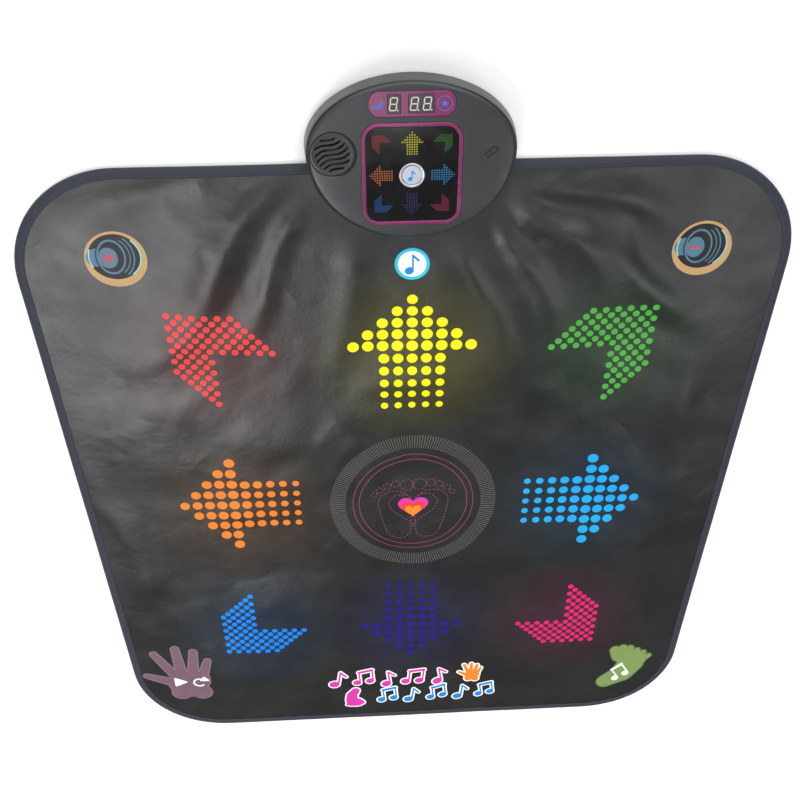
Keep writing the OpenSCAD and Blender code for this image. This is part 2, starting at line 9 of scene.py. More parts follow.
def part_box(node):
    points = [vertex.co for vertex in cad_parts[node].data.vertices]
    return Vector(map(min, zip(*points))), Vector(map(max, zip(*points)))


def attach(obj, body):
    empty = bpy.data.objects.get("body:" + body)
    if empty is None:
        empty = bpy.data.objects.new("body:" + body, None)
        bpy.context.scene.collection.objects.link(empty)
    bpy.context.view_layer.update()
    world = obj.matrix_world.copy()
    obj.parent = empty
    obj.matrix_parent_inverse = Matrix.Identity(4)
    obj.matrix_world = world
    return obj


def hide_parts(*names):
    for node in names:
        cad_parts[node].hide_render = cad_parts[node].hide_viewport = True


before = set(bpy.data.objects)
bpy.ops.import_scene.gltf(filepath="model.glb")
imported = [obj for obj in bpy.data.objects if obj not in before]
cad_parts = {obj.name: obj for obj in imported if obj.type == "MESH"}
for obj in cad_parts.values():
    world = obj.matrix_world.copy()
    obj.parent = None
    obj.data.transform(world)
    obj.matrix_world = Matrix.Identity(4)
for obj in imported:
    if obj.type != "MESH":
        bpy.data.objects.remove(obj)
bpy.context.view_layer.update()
print("frame loaded")
mm = 0.001


def clearSelection():
    if bpy.context.object and bpy.context.object.mode != "OBJECT":
        bpy.ops.object.mode_set(mode="OBJECT")
    bpy.ops.object.select_all(action="DESELECT")


def pick(piece):
    clearSelection()
    piece.select_set(True)
    bpy.context.view_layer.objects.active = piece


def settle(piece, name=None):
    # place, turn and scale go into the mesh, so the object sits at the origin
    pick(piece)
    bpy.ops.object.transform_apply(location=True, rotation=True, scale=True)
    if name:
        piece.name = name
        piece.data.name = name
    return piece


def applyAll(piece):
    pick(piece)
    for modifier in list(piece.modifiers):
        bpy.ops.object.modifier_apply(modifier=modifier.name)
    return piece


def smooth(piece, angle=35, level=False):
    # level keeps large flat faces flat beside their rounded edges
    pick(piece)
    bpy.ops.object.shade_smooth_by_angle(angle=math.radians(angle))
    if level:
        modifier = piece.modifiers.new("level", "WEIGHTED_NORMAL")
        modifier.weight, modifier.keep_sharp = 100, True
        applyAll(piece)
    return piece


def bevelEdges(piece, width, segments=3, angle=35):
    modifier = piece.modifiers.new("bevel", "BEVEL")
    modifier.width = width
    modifier.segments = segments
    modifier.limit_method = "ANGLE"
    modifier.angle_limit = math.radians(angle)
    modifier.harden_normals = False
    return applyAll(piece)


def cutWith(piece, cutter, operation="DIFFERENCE"):
    modifier = piece.modifiers.new("cut", "BOOLEAN")
    modifier.operation = operation
    modifier.object = cutter
    modifier.solver = "EXACT"
    applyAll(piece)
    bpy.data.objects.remove(cutter)
    return piece


def getCo(piece):
    co = np.empty(len(piece.data.vertices) * 3)
    piece.data.vertices.foreach_get("co", co)
    return co.reshape(-1, 3)


def setCo(piece, co):
    piece.data.vertices.foreach_set("co", np.ascontiguousarray(co).ravel())
    piece.data.update()


def cleanMesh(piece, cap=False):
    # merges doubles, fills each open rim with one face where cap is set, and turns all faces outwards
    pick(piece)
    bpy.ops.object.mode_set(mode="EDIT")
    bpy.ops.mesh.select_all(action="SELECT")
    bpy.ops.mesh.remove_doubles(threshold=1e-6)
    if cap:
        bpy.ops.mesh.select_all(action="DESELECT")
        bpy.ops.mesh.select_non_manifold()
        bpy.ops.mesh.edge_face_add()
    else:
        bpy.ops.mesh.delete_loose()
    bpy.ops.mesh.select_all(action="SELECT")
    bpy.ops.mesh.normals_make_consistent(inside=False)
    bpy.ops.object.mode_set(mode="OBJECT")
    return piece


def bentGrid(name, columns, rows, place, closed=False):
    # a grid primitive whose points are moved to place(u, v), with u and v from 0 to 1
    clearSelection()
    bpy.ops.mesh.primitive_grid_add(x_subdivisions=columns, y_subdivisions=rows, size=1)
    piece = bpy.context.object
    piece.name = piece.data.name = name
    uv = getCo(piece)[:, :2] + 0.5
    x, y, z = place(uv[:, 0], uv[:, 1])
    setCo(piece, np.stack([x, y, z], axis=1))
    return cleanMesh(piece) if closed else piece


def roundBlock(name, size, radius, z0, z1, at=(0, 0), segments=10, turn=0):
    # a cube primitive with its four upright edges bevelled
    clearSelection()
    bpy.ops.mesh.primitive_cube_add(size=1)
    piece = bpy.context.object
    piece.scale = (size[0], size[1], z1 - z0)
    settle(piece, name)
    if radius > 0:
        bm = bmesh.new()
        bm.from_mesh(piece.data)
        upright = [e for e in bm.edges if abs(e.verts[0].co.z - e.verts[1].co.z) > 1e-6]
        bmesh.ops.bevel(bm, geom=upright, offset=radius, segments=segments, profile=0.5, affect="EDGES")
        bm.to_mesh(piece.data)
        bm.free()
    piece.rotation_euler.z = turn
    piece.location = (at[0], at[1], (z0 + z1) / 2)
    return settle(piece)


def roundBar(name, radius, z0, z1, at=(0, 0), steps=96):
    clearSelection()
    bpy.ops.mesh.primitive_cylinder_add(vertices=steps, radius=radius, depth=z1 - z0,
                                        location=(at[0], at[1], (z0 + z1) / 2))
    return settle(bpy.context.object, name)


def joinAll(name, pieces):
    clearSelection()
    for p in pieces:
        p.select_set(True)
    bpy.context.view_layer.objects.active = pieces[0]
    bpy.ops.object.join()
    pieces[0].name = pieces[0].data.name = name
    return pieces[0]



class Nodes:
    # a material and the few node steps that the finishes below share
    def __init__(self, name):
        self.material = bpy.data.materials.new(name)
        self.material.use_nodes = True
        self.tree = self.material.node_tree
        self.shader = self.tree.nodes["Principled BSDF"]
        self.coords = self.tree.nodes.new("ShaderNodeTexCoord").outputs["Object"]

    def add(self, kind, links=(), **values):
        node = self.tree.nodes.new(kind)
        for key, value in values.items():
            if hasattr(node, key):
                setattr(node, key, value)
            else:
                node.inputs[key].default_value = value
        for socket, source in links:
            self.tree.links.new(source, node.inputs[socket])
        return node

    def noise(self, scale, detail=3, rough=0.5):
        return self.add("ShaderNodeTexNoise", [("Vector", self.coords)],
                        Scale=scale, Detail=detail, Roughness=rough).outputs["Fac"]

    def between(self, fac, low, high, fromLow=0.0, fromHigh=1.0):
        return self.add("ShaderNodeMapRange", [("Value", fac)], **{
            "From Min": fromLow, "From Max": fromHigh, "To Min": low, "To Max": high}).outputs["Result"]

    def mix(self, fac, first, second):
        node = self.tree.nodes.new("ShaderNodeMix")
        node.data_type = "RGBA"
        for socket, value in ((node.inputs[0], fac), (node.inputs[6], first), (node.inputs[7], second)):
            if isinstance(value, (float, int)):
                socket.default_value = value
            elif isinstance(value, tuple):
                socket.default_value = (*value, 1)
            else:
                self.tree.links.new(value, socket)
        return node.outputs[2]

    def bump(self, height, distance, strength=1.0, under=None):
        links = [("Height", height)] + ([("Normal", under)] if under else [])
        return self.add("ShaderNodeBump", links, Distance=distance, Strength=strength).outputs["Normal"]

    def finish(self, colour=None, rough=None, normal=None, **fixed):
        for socket, value in (("Base Color", colour), ("Roughness", rough), ("Normal", normal)):
            if value is None:
                continue
            if isinstance(value, tuple):
                self.shader.inputs[socket].default_value = (*value, 1)
            elif isinstance(value, float):
                self.shader.inputs[socket].default_value = value
            else:
                self.tree.links.new(value, self.shader.inputs[socket])
        for socket, value in fixed.items():
            self.shader.inputs[socket.replace("_", " ")].default_value = value
        return self.material


def moulded(name, colour, rough, grain=900, depth=0.02, spread=0.06, **fixed):
    # moulded plastic: fine spark grain, faint cloudy flow marks and uneven sheen
    n = Nodes(name)
    flow = n.noise(14, 4, 0.6)
    light = tuple(min(1.0, c * (1 + spread) + 0.002) for c in colour)
    dark = tuple(c * (1 - spread) for c in colour)
    tone = n.mix(n.between(flow, 0, 1, 0.35, 0.65), dark, light)
    sheen = n.between(n.noise(45, 3), rough - 0.05, rough + 0.06, 0.3, 0.7)
    normal = n.bump(n.noise(grain, 2), depth * mm)
    return n.finish(tone, sheen, normal, **fixed)


def inkOf(name, colour, rough=0.42, spread=0.05):
    # screen-printed ink: slightly uneven cover over the coated cloth
    n = Nodes(name)
    patch = n.noise(60, 3)
    tone = n.mix(n.between(patch, 0, 1, 0.3, 0.7), tuple(c * (1 - spread) for c in colour),
                 tuple(min(1.0, c * (1 + spread)) for c in colour))
    normal = n.bump(n.noise(1400, 2), 0.02 * mm)
    return n.finish(tone, n.between(patch, rough - 0.04, rough + 0.05), normal, Specular_IOR_Level=0.28)


def metal(name, colour, rough):
    n = Nodes(name)
    streak = n.noise(300, 2)
    sheen = n.between(streak, rough - 0.06, rough + 0.08)
    return n.finish(colour, sheen, n.bump(streak, 0.01 * mm), Metallic=1.0)


def finishWith(piece, material):
    piece.data.materials.clear()
    piece.data.materials.append(material)
    return piece


def fitPiece(piece, material, standsFor=None, body="machine"):
    # gives a piece its finish in its material slot and its body, and hides the frame node that it stands for
    finishWith(piece, material)
    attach(piece, body)
    if standsFor:
        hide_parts(standsFor)
    return piece


camera = {"place": (-0.0615, 0.8049, 0.9724), "aim": (-0.0106, 0.1043, 0.0),
          "up": (0.0335, 0.8117, -0.5831), "lens": 44.07, "sensor": 36.0}


def addToScene(holder):
    bpy.context.scene.collection.objects.link(holder)
    return holder


def makeCamera():
    data = bpy.data.cameras.new("camera")
    data.lens, data.sensor_width = camera["lens"], camera["sensor"]
    data.clip_start, data.clip_end = 0.01, 50
    holder = addToScene(bpy.data.objects.new("camera", data))
    back = (Vector(camera["place"]) - Vector(camera["aim"])).normalized()
    right = Vector(camera["up"]).cross(back).normalized()
    up = back.cross(right)
    turn = Matrix((right, up, back)).transposed().to_4x4()
    holder.matrix_world = Matrix.Translation(camera["place"]) @ turn
    bpy.context.scene.camera = holder


lights = [
    {"name": "overheadSoft", "place": (-1.15, -1.0, 2.5), "aim": (-0.2, 0.2, 0),
     "size": (1.5, 0.95), "power": 30},
    {"name": "consoleSoft", "place": (-0.2, -0.1, 2.5), "aim": (0, 0.43, 0),
     "size": (0.9, 0.45), "power": 3.5},
    {"name": "rightSoft", "place": (1.35, -0.8, 2.5), "aim": (0.2, 0.2, 0),
     "size": (0.9, 0.7), "power": 8},
]
worldStrength = {"light": 0.26, "seen": 0.93}
sunFill = {"from": (0.12, 0.8, 1.0), "strength": 2.7, "spread": 65}


def makeLights():
    for light in lights:
        data = bpy.data.lights.new(light["name"], "AREA")
        data.shape = "RECTANGLE"
        data.size, data.size_y = light["size"]
        data.energy = light["power"]
        lamp = addToScene(bpy.data.objects.new(light["name"], data))
        lamp.location = light["place"]
        aim = Vector(light["aim"]) - Vector(light["place"])
        lamp.rotation_euler = aim.to_track_quat("-Z", "Y").to_euler()
    data = bpy.data.lights.new("sunFill", "SUN")
    data.energy, data.angle = sunFill["strength"], math.radians(sunFill["spread"])
    lamp = addToScene(bpy.data.objects.new("sunFill", data))
    lamp.rotation_euler = Vector(sunFill["from"]).to_track_quat("Z", "Y").to_euler()
    world = bpy.data.worlds.new("room")
    world.use_nodes = True
    tree = world.node_tree
    back = tree.nodes["Background"]
    back.inputs[0].default_value = (1, 1, 1, 1)
    rays = tree.nodes.new("ShaderNodeLightPath")
    level = tree.nodes.new("ShaderNodeMapRange")
    level.inputs["To Min"].default_value = worldStrength["light"]
    level.inputs["To Max"].default_value = worldStrength["seen"]
    tree.links.new(rays.outputs["Is Camera Ray"], level.inputs["Value"])
    tree.links.new(level.outputs["Result"], back.inputs[1])
    bpy.context.scene.world = world
    bpy.context.scene.view_settings.view_transform = "Standard"


def makeFloor():
    clearSelection()
    bpy.ops.mesh.primitive_plane_add(size=30, location=(0, 0, -0.0004))
    floor = settle(bpy.context.object, "floor")
    n = Nodes("paleFloor")
    tone = n.mix(n.between(n.noise(3), 0, 1), (0.93, 0.93, 0.93), (0.95, 0.95, 0.95))
    finishWith(floor, n.finish(tone, 0.8))


makeCamera()
makeLights()
makeFloor()
print("camera, lights and floor made")

low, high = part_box("edge_binding")
coverLow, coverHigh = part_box("printed_cover")
mat = {
    "halfWidth": high.x, "frontHalf": 0.409, "rear": high.y, "front": low.y,
    "rearCorner": 0.124, "frontCorner": 0.130,
    "top": coverHigh.z, "coverThick": coverHigh.z - coverLow.z, "tape": high.z - coverHigh.z,
    "baseThick": 0.0016, "spacing": 0.0042, "baseSpacing": 0.014,
    "hem": 0.0018,  # how far the sheets stop short of the tape's outer face
    "rim": 0.003, "rims": 8,  # width and count of the base's narrow rows along each edge
    "flatFrom": 0.020, "rise": 0.0075, "legRoom": 0.0006,  # how the base rises over the tape's lower leg
    "foldGain": 1.2, "edgeCalm": 0.15, "calmReach": 0.07,  # folds shrink towards the edge
}
# soft folds: start, end, half width and height in millimetres
folds = [
    ((-118, 395), (-250, 262), 16, 4.2), ((-112, 350), (-190, 210), 13, 3.0),
    ((-125, 405), (-330, 392), 15, 3.0), ((118, 392), (212, 250), 15, 4.6),
    ((110, 350), (160, 205), 12, 3.4), ((122, 402), (300, 330), 16, 3.8),
    ((135, 398), (372, 398), 13, 2.4), ((165, 330), (330, 190), 20, 2.6),
    ((-205, 345), (-300, 190), 22, 2.6), ((-60, 325), (-92, 150), 16, 1.6),
    ((64, 322), (110, 170), 14, 1.8), ((330, 120), (400, -130), 26, 2.6),
    ((-400, 60), (-372, -190), 24, 2.0), ((-300, 120), (-60, 20), 34, 1.5),
    ((90, 60), (330, -40), 36, 1.6), ((-260, -200), (-40, -330), 34, 1.6),
    ((60, -260), (300, -330), 30, 1.7), ((-40, 130), (220, 190), 28, 1.4),
    ((-340, -250), (-220, -420), 20, 1.6), ((250, -230), (380, -330), 18, 1.6),
]


# the tape folded round the edge; stations are its steps round the outline
tape = {"stations": 760, "reach": 0.0112, "stitches": 600, "stitchInset": 0.0022}


def cornerPoints(centre, radius, start, end, steps=24):
    angles = np.radians(np.linspace(start, end, steps))
    return np.stack([centre[0] + radius * np.cos(angles), centre[1] + radius * np.sin(angles)], axis=1)


def matOutline(inset):
    # rounded outline with slightly tapering sides, drawn in by inset
    rearR, frontR = mat["rearCorner"], mat["frontCorner"]
    rearC = (mat["halfWidth"] - rearR, mat["rear"] - rearR)
    frontC = (mat["frontHalf"] - frontR, mat["front"] + frontR)
    dx, dy = rearC[0] - frontC[0], rearC[1] - frontC[1]
    side = math.degrees(math.atan2(dy, dx) - math.acos((frontR - rearR) / math.hypot(dx, dy)))
    return np.concatenate([
        cornerPoints(rearC, rearR - inset, side, 90),
        cornerPoints((-rearC[0], rearC[1]), rearR - inset, 90, 180 - side),
        cornerPoints((-frontC[0], frontC[1]), frontR - inset, 180 - side, 270),
        cornerPoints(frontC, frontR - inset, 270, 360 + side)])


def alongOutline(inset, count):
    # evenly spaced points round the outline, with their outward directions
    points = matOutline(inset)
    loop = np.vstack([points, points[:1]])
    run = np.concatenate([[0], np.cumsum(np.linalg.norm(np.diff(loop, axis=0), axis=1))])
    where = np.linspace(0, run[-1], count, endpoint=False)
    spots = np.stack([np.interp(where, run, loop[:, k]) for k in (0, 1)], axis=1)
    ahead = np.roll(spots, -1, axis=0) - np.roll(spots, 1, axis=0)
    ahead /= np.linalg.norm(ahead, axis=1)[:, None]
    return spots, np.stack([ahead[:, 1], -ahead[:, 0]], axis=1)


def halfWidthAt(y, inset):
    outline = matOutline(inset)
    right = outline[outline[:, 0] > 0]
    order = np.argsort(right[:, 1])
    return np.interp(y, right[order, 1], right[order, 0])


waves = []
waveDice = np.random.default_rng(21)
for length, height in ((330, 0.9), (210, 0.7), (140, 0.5), (90, 0.34), (62, 0.2), (44, 0.11)):
    for k in range(4):
        heading = waveDice.uniform(0, math.tau)
        waves.append((math.tau / length * math.cos(heading), math.tau / length * math.sin(heading),
                      waveDice.uniform(0, math.tau), height * 0.5))


def consoleCalm(x, y):
    # 0 under and close to the console, 1 away from it
    d = np.hypot(x / 118, (y - 430) / 105)
    return np.clip((d - 1.0) / 0.35, 0, 1)


def matLift(x, y):
    # height in metres that the soft mat stands above flat, from x and y in metres
    x, y = np.asarray(x) / mm, np.asarray(y) / mm
    warpX = x + 14 * np.sin(y / 61 + 1.3) + 7 * np.sin(x / 37 + y / 53)
    warpY = y + 14 * np.sin(x / 57 + 0.4) + 7 * np.sin(x / 41 - y / 47)
    total = np.zeros_like(warpX)
    for (x0, y0), (x1, y1), half, height in folds:
        run = np.array([x1 - x0, y1 - y0], float)
        length = np.hypot(*run)
        run /= length
        along = (warpX - x0) * run[0] + (warpY - y0) * run[1]
        across = -(warpX - x0) * run[1] + (warpY - y0) * run[0]
        part = np.clip(along / length, -0.25, 1.25)
        fade = np.clip(np.minimum((part + 0.25) / 0.4, (1.25 - part) / 0.6), 0, 1)
        fade = fade * fade * (3 - 2 * fade)
        spread = half * (0.7 + 0.6 * np.clip(part, 0, 1))
        total += height * fade * np.exp(-(across / spread) ** 2)
    ripple = sum(h * np.sin(kx * warpX + ky * warpY + phase) for kx, ky, phase, h in waves)
    total += np.maximum(ripple + 0.9, 0)
    toEnds = np.minimum(mat["rear"] - y * mm, y * mm - mat["front"])
    inside = np.minimum(halfWidthAt(y * mm, 0.0) - np.abs(x) * mm, toEnds)
    edge = np.clip(mat["edgeCalm"] + inside / mat["calmReach"], mat["edgeCalm"], 1)
    return total * consoleCalm(x, y) * mm * mat["foldGain"] * edge


def matSheet(name, spacing, heightAt, rims=0):
    # a grid of the mat's outline, with narrow rows next to its edges where rims is given
    inset = mat["hem"]
    long, wide = mat["rear"] - mat["front"] - 2 * inset, 2 * mat["halfWidth"]
    rows, columns = [int((span - 2 * rims * mat["rim"]) / spacing) + 2 * rims for span in (long, wide)]

    def spaced(share, count, span):
        steps = np.full(count, (span - 2 * rims * mat["rim"]) / (count - 2 * rims))
        steps[:rims] = steps[count - rims:] = mat["rim"]
        return np.interp(share, np.linspace(0, 1, count + 1), np.append(0, np.cumsum(steps)) / span)

    def place(u, v):
        y = mat["front"] + inset + spaced(v, rows, long) * long
        x = (2 * spaced(u, columns, wide) - 1) * halfWidthAt(y, inset)
        return x, y, heightAt(x, y)

    return bentGrid(name, columns, rows, place)


def matTopAt(x, y):
    return mat["top"] + matLift(x, y)


def baseLift(x, y):
    # the base lies flat, and rises over the tape's lower leg along the mat's edge
    outline = alongOutline(0.0, tape["stations"])[0]
    far = np.array([np.hypot(*(outline - spot).T).min() for spot in zip(x, y)])
    share = np.clip((mat["flatFrom"] - far) / mat["rise"], 0, 1)
    return (matLift(x, y) + mat["legRoom"]) * share * share * (3 - 2 * share)


# painted glow: a coloured tint painted into the cloth round each printed arrow, as if the arrow gave off
# light
paintedArrowGlows = [((0, 233), (0.14, 0.13, 0.0)), ((-225, 0), (0.10, 0.035, 0.0)), ((0, -233), (0.01, 0.005, 0.09)),
         ((225, 0), (0.0, 0.04, 0.09)), ((-234, 236), (0.10, 0.01, 0.01)), ((234, 236), (0.01, 0.06, 0.015)),
         ((-221, -236), (0.0, 0.03, 0.09)), ((221, -236), (0.09, 0.005, 0.04))]
ringSpot = (0.006, (mat["rear"] + mat["front"]) / 2 - 0.012)


def coverMaterial():
    # coated cloth: near-black print, a painted coloured glow round each arrow, fine weave under a soft gloss
    n = Nodes("coatedCloth")
    tone = n.mix(n.between(n.noise(9, 4), 0, 1, 0.35, 0.65), (0.007, 0.0073, 0.0073), (0.011, 0.0114, 0.011))
    # painted glow, strongest close to each arrow and fading out 0.13 m from its middle
    for (x, y), glowTint in paintedArrowGlows:
        far = n.add("ShaderNodeVectorMath", [(0, n.coords)], operation="DISTANCE")
        far.inputs[1].default_value = (ringSpot[0] + x * mm, ringSpot[1] + y * mm, mat["top"])
        near = n.between(far.outputs["Value"], 0.30, 0.0, 0.03, 0.13)
        tone = n.mix(near, tone, glowTint)
    weave = n.add("ShaderNodeTexWave", [("Vector", n.coords)], Scale=420, Distortion=0.6, bands_direction="X")
    weft = n.add("ShaderNodeTexWave", [("Vector", n.coords)], Scale=420, Distortion=0.6, bands_direction="Y")
    crossed = [(0, weave.outputs["Fac"]), (1, weft.outputs["Fac"])]
    cloth = n.add("ShaderNodeMath", crossed, operation="MULTIPLY")
    normal = n.bump(n.noise(20, 5, 0.6), 1.4 * mm, 0.7)
    for size, stray, height, sparse in ((4.5, 0.09, 1.6, 0.52), (13, 0.05, 0.5, 0.56)):
        # thin creases along warped cell edges, kept only in patches
        bent = n.add("ShaderNodeTexNoise", [("Vector", n.coords)], Scale=9, Detail=3).outputs["Color"]
        warp = n.add("ShaderNodeVectorMath", [(0, bent)], operation="SCALE")
        warp.inputs["Scale"].default_value = stray
        moved = n.add("ShaderNodeVectorMath", [(0, n.coords), (1, warp.outputs["Vector"])], operation="ADD")
        cells = n.add("ShaderNodeTexVoronoi", [("Vector", moved.outputs["Vector"])], Scale=size,
                      feature="DISTANCE_TO_EDGE")
        ridge = n.between(cells.outputs["Distance"], 1, 0, 0, 0.16)
        patch = n.between(n.noise(5 + size / 3, 2), 0, 1, sparse, sparse + 0.12)
        crease = n.add("ShaderNodeMath", [(0, ridge), (1, patch)], operation="MULTIPLY")
        normal = n.bump(crease.outputs[0], height * mm, 0.8, normal)
    fine = n.bump(cloth.outputs[0], 0.03 * mm, 0.5, normal)
    rough = n.between(n.noise(18, 4), 0.30, 0.40, 0.3, 0.7)
    return n.finish(tone, rough, fine, Specular_IOR_Level=0.55)


def thicken(piece, thickness, offset):
    solid = piece.modifiers.new("thick", "SOLIDIFY")
    solid.thickness, solid.offset = thickness, offset
    return applyAll(piece)


def buildMat():
    cover = thicken(matSheet("printedCover", mat["spacing"], matTopAt), mat["coverThick"], -1)
    smooth(cover, 60)
    fitPiece(cover, coverMaterial(), "printed_cover")

    base = thicken(matSheet("nonSlipBase", mat["baseSpacing"], baseLift, mat["rims"]), mat["baseThick"], 1)
    plateLow, plateHigh = (Vector(c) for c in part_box("clamp_plate"))
    size, middle = plateHigh - plateLow + Vector((0.0006, 0.0006, 0)), (plateLow + plateHigh) / 2
    cutWith(base, roundBlock("plateHole", size, 0.0063, -0.002, 0.004, middle))
    smooth(base, 60)
    n = Nodes("nonSlipCloth")
    dots = n.add("ShaderNodeTexVoronoi", [("Vector", n.coords)], Scale=260)
    bead = n.between(dots.outputs["Distance"], 1, 0, 0.1, 0.5)
    tone = n.mix(bead, (0.030, 0.031, 0.034), (0.055, 0.057, 0.062))
    fitPiece(base, n.finish(tone, 0.8, n.bump(bead, 0.25 * mm)), "anti_slip_base")
    return cover, base


cover, baseSheet = buildMat()
coverTree = BVHTree.FromObject(cover, bpy.context.evaluated_depsgraph_get())
print("mat sheets made")


def topUnder(x, y):
    hit = coverTree.ray_cast(Vector((x, y, 0.2)), Vector((0, 0, -1)))
    return hit[0].z if hit[0] else mat["top"]


def buildTape():
    # a soft U section carried round the outline
    spots, outward = alongOutline(0.0, tape["stations"])
    thick, reach = mat["tape"], tape["reach"]
    top, bottom = mat["top"] + thick, 0.0
    section = [(-reach, mat["top"] + 0.00012), (-reach, top - 0.0002), (-reach + 0.0003, top),
               (-0.006, top + 0.0001), (-0.0022, top - 0.0001), (-0.0008, top - 0.0009),
               (-0.0001, top - 0.0022), (-0.0001, 0.0022), (-0.0008, 0.0007), (-0.0022, bottom),
               (-0.006, bottom), (-reach, bottom), (-reach, 0.0005), (-0.003, 0.0007),
               (-0.0014, 0.0022), (-0.0014, top - 0.0022), (-0.003, mat["top"] + 0.0001)]
    closed = np.array(section + section[:1])
    ring = np.vstack([spots, spots[:1]])
    out = np.vstack([outward, outward[:1]])

    def place(u, v):
        i = np.rint(u * tape["stations"]).astype(int)
        j = np.rint(v * len(section)).astype(int)
        x = ring[i, 0] + out[i, 0] * closed[j, 0]
        y = ring[i, 1] + out[i, 1] * closed[j, 0]
        wobble = 0.00018 * np.sin(i * 0.9) * (closed[j, 1] > mat["top"])
        return x, y, closed[j, 1] + matLift(x, y) + wobble

    piece = bentGrid("edgeTape", tape["stations"], len(section), place, True)
    smooth(piece, 50)
    n = Nodes("wovenTape")
    turned = n.add("ShaderNodeMapping", [("Vector", n.coords)], Rotation=(0, 0, math.radians(90)))
    crossed = []
    for k, way in enumerate((n.coords, turned.outputs[0])):
        rib = n.add("ShaderNodeTexWave", [("Vector", way)], Scale=260, Distortion=0.8,
                    bands_direction="DIAGONAL")
        crossed.append((k, rib.outputs["Fac"]))
    yarn = n.add("ShaderNodeMath", crossed, operation="MAXIMUM")
    tone = n.mix(yarn.outputs[0], (0.005, 0.007, 0.014), (0.016, 0.021, 0.037))
    woven = n.finish(tone, 0.62, n.bump(yarn.outputs[0], 0.2 * mm), Sheen_Weight=0.12)
    fitPiece(piece, woven, "edge_binding")

    clearSelection()
    bpy.ops.mesh.primitive_cylinder_add(vertices=6, radius=0.00035, depth=0.0034,
                                        rotation=(0, math.pi / 2, 0))
    stitch = settle(bpy.context.object, "tapeStitches")
    bm = bmesh.new()
    stitchSpots, stitchOut = alongOutline(tape["reach"] - tape["stitchInset"], tape["stitches"])
    for (x, y), (ox, oy) in zip(stitchSpots, stitchOut):
        first = len(bm.verts)
        bm.from_mesh(stitch.data)
        bm.verts.ensure_lookup_table()
        turn = Matrix.Rotation(math.atan2(oy, ox) + math.pi / 2, 4, "Z")
        z = top - 0.00005 + float(matLift(x, y))
        for v in bm.verts[first:]:
            v.co = turn @ v.co + Vector((x, y, z))
    bm.to_mesh(stitch.data)
    bm.free()
    thread = Nodes("navyThread")
    tone = thread.mix(thread.noise(900), (0.02, 0.026, 0.05), (0.07, 0.08, 0.12))
    fitPiece(stitch, thread.finish(tone, 0.6))
    return [piece, stitch]


tapePieces = buildTape()
print("edge tape made")

# heights of a print's top and underside over the cover; each coat of ink adds the step
coat = {"top": 0.00024, "bottom": -0.00012, "topStep": 0.000048, "bottomStep": 0.00004}


def layOnMat(piece, coats=0):
    # a flat print with its top at z 1 and its underside at z 0 follows the cover
    co = getCo(piece)
    heights = np.array([topUnder(x, y) for x, y in co[:, :2]])
    co[:, 2] = heights + np.where(co[:, 2] > 0.5, coat["top"] + coats * coat["topStep"],
                                  coat["bottom"] + coats * coat["bottomStep"])
    setCo(piece, co)
    return piece


def bandOutline(centre, radius, width, start, end, steps=40):
    # outline of a broad arc in millimetres and degrees, round a centre in metres
    a = np.radians(np.linspace(start, end, steps))
    rim = [np.stack([centre[0] + r * mm * np.cos(a), centre[1] + r * mm * np.sin(a)], axis=1)
           for r in (radius + width / 2, radius - width / 2)]
    return np.concatenate([rim[0], rim[1][::-1]])


def gridCut(piece, step=mat["spacing"]):
    # cuts a wide print along a grid, so that it can follow the cover's folds
    co = getCo(piece)
    pick(piece)
    bpy.ops.object.mode_set(mode="EDIT")
    for axis in (0, 1):
        normal = (1, 0, 0) if axis == 0 else (0, 1, 0)
        lowEnd, highEnd = co[:, axis].min(), co[:, axis].max()
        for k in range(1, int((highEnd - lowEnd) / step) + 1):
            spot = [0, 0, 0]
            spot[axis] = lowEnd + k * step
            bpy.ops.mesh.select_all(action="SELECT")
            bpy.ops.mesh.bisect(plane_co=spot, plane_no=normal)
    bpy.ops.object.mode_set(mode="OBJECT")
    return piece


def lift(piece, z0, z1):
    co = getCo(piece)
    co[:, 2] = z0 + (z1 - z0) * co[:, 2]
    setCo(piece, co)
    return piece


def prism(name, outline):
    # a flat closed shape from z 0 to z 1 over an outline
    flat = bpy.data.meshes.new(name)
    bm = bmesh.new()
    rim = [bm.verts.new((x, y, 0)) for x, y in outline]
    face = bm.faces.new(rim)
    grown = bmesh.ops.extrude_face_region(bm, geom=[face])
    upper = [v for v in grown["geom"] if isinstance(v, bmesh.types.BMVert)]
    bmesh.ops.translate(bm, verts=upper, vec=(0, 0, 1))
    bmesh.ops.recalc_face_normals(bm, faces=bm.faces)
    bm.to_mesh(flat)
    bm.free()
    return addToScene(bpy.data.objects.new(name, flat))


def capsuleOutline(start, end, r0, r1, steps=12):
    # outline of a rounded bar that tapers from radius r0 to r1
    start, end = np.array(start, float), np.array(end, float)
    run = end - start
    length = np.hypot(*run)
    if length < 1e-9:
        a = np.linspace(0, math.tau, 2 * steps, endpoint=False)
        return np.stack([start[0] + r0 * np.cos(a), start[1] + r0 * np.sin(a)], axis=1)
    heading = math.atan2(run[1], run[0])
    lean = math.acos(np.clip((r0 - r1) / length, -1, 1))
    a = np.linspace(heading - lean, heading + lean, steps)
    b = np.linspace(heading + lean, heading + math.tau - lean, steps)
    far = end[:, None] + r1 * np.stack([np.cos(a), np.sin(a)])
    near = start[:, None] + r0 * np.stack([np.cos(b), np.sin(b)])
    return np.concatenate([far.T, near.T])


def ellipseOutline(centre, rx, ry, steps=40):
    # half widths in millimetres, round a centre in metres
    a = np.linspace(0, math.tau, steps, endpoint=False)
    return np.stack([centre[0] + rx * mm * np.cos(a), centre[1] + ry * mm * np.sin(a)], axis=1)


def unite(name, outlines):
    # one shape from overlapping outlines
    whole = prism(name, outlines[0])
    for k, outline in enumerate(outlines[1:]):
        cutWith(whole, prism(f"{name}Part{k}", outline), "UNION")
    return whole


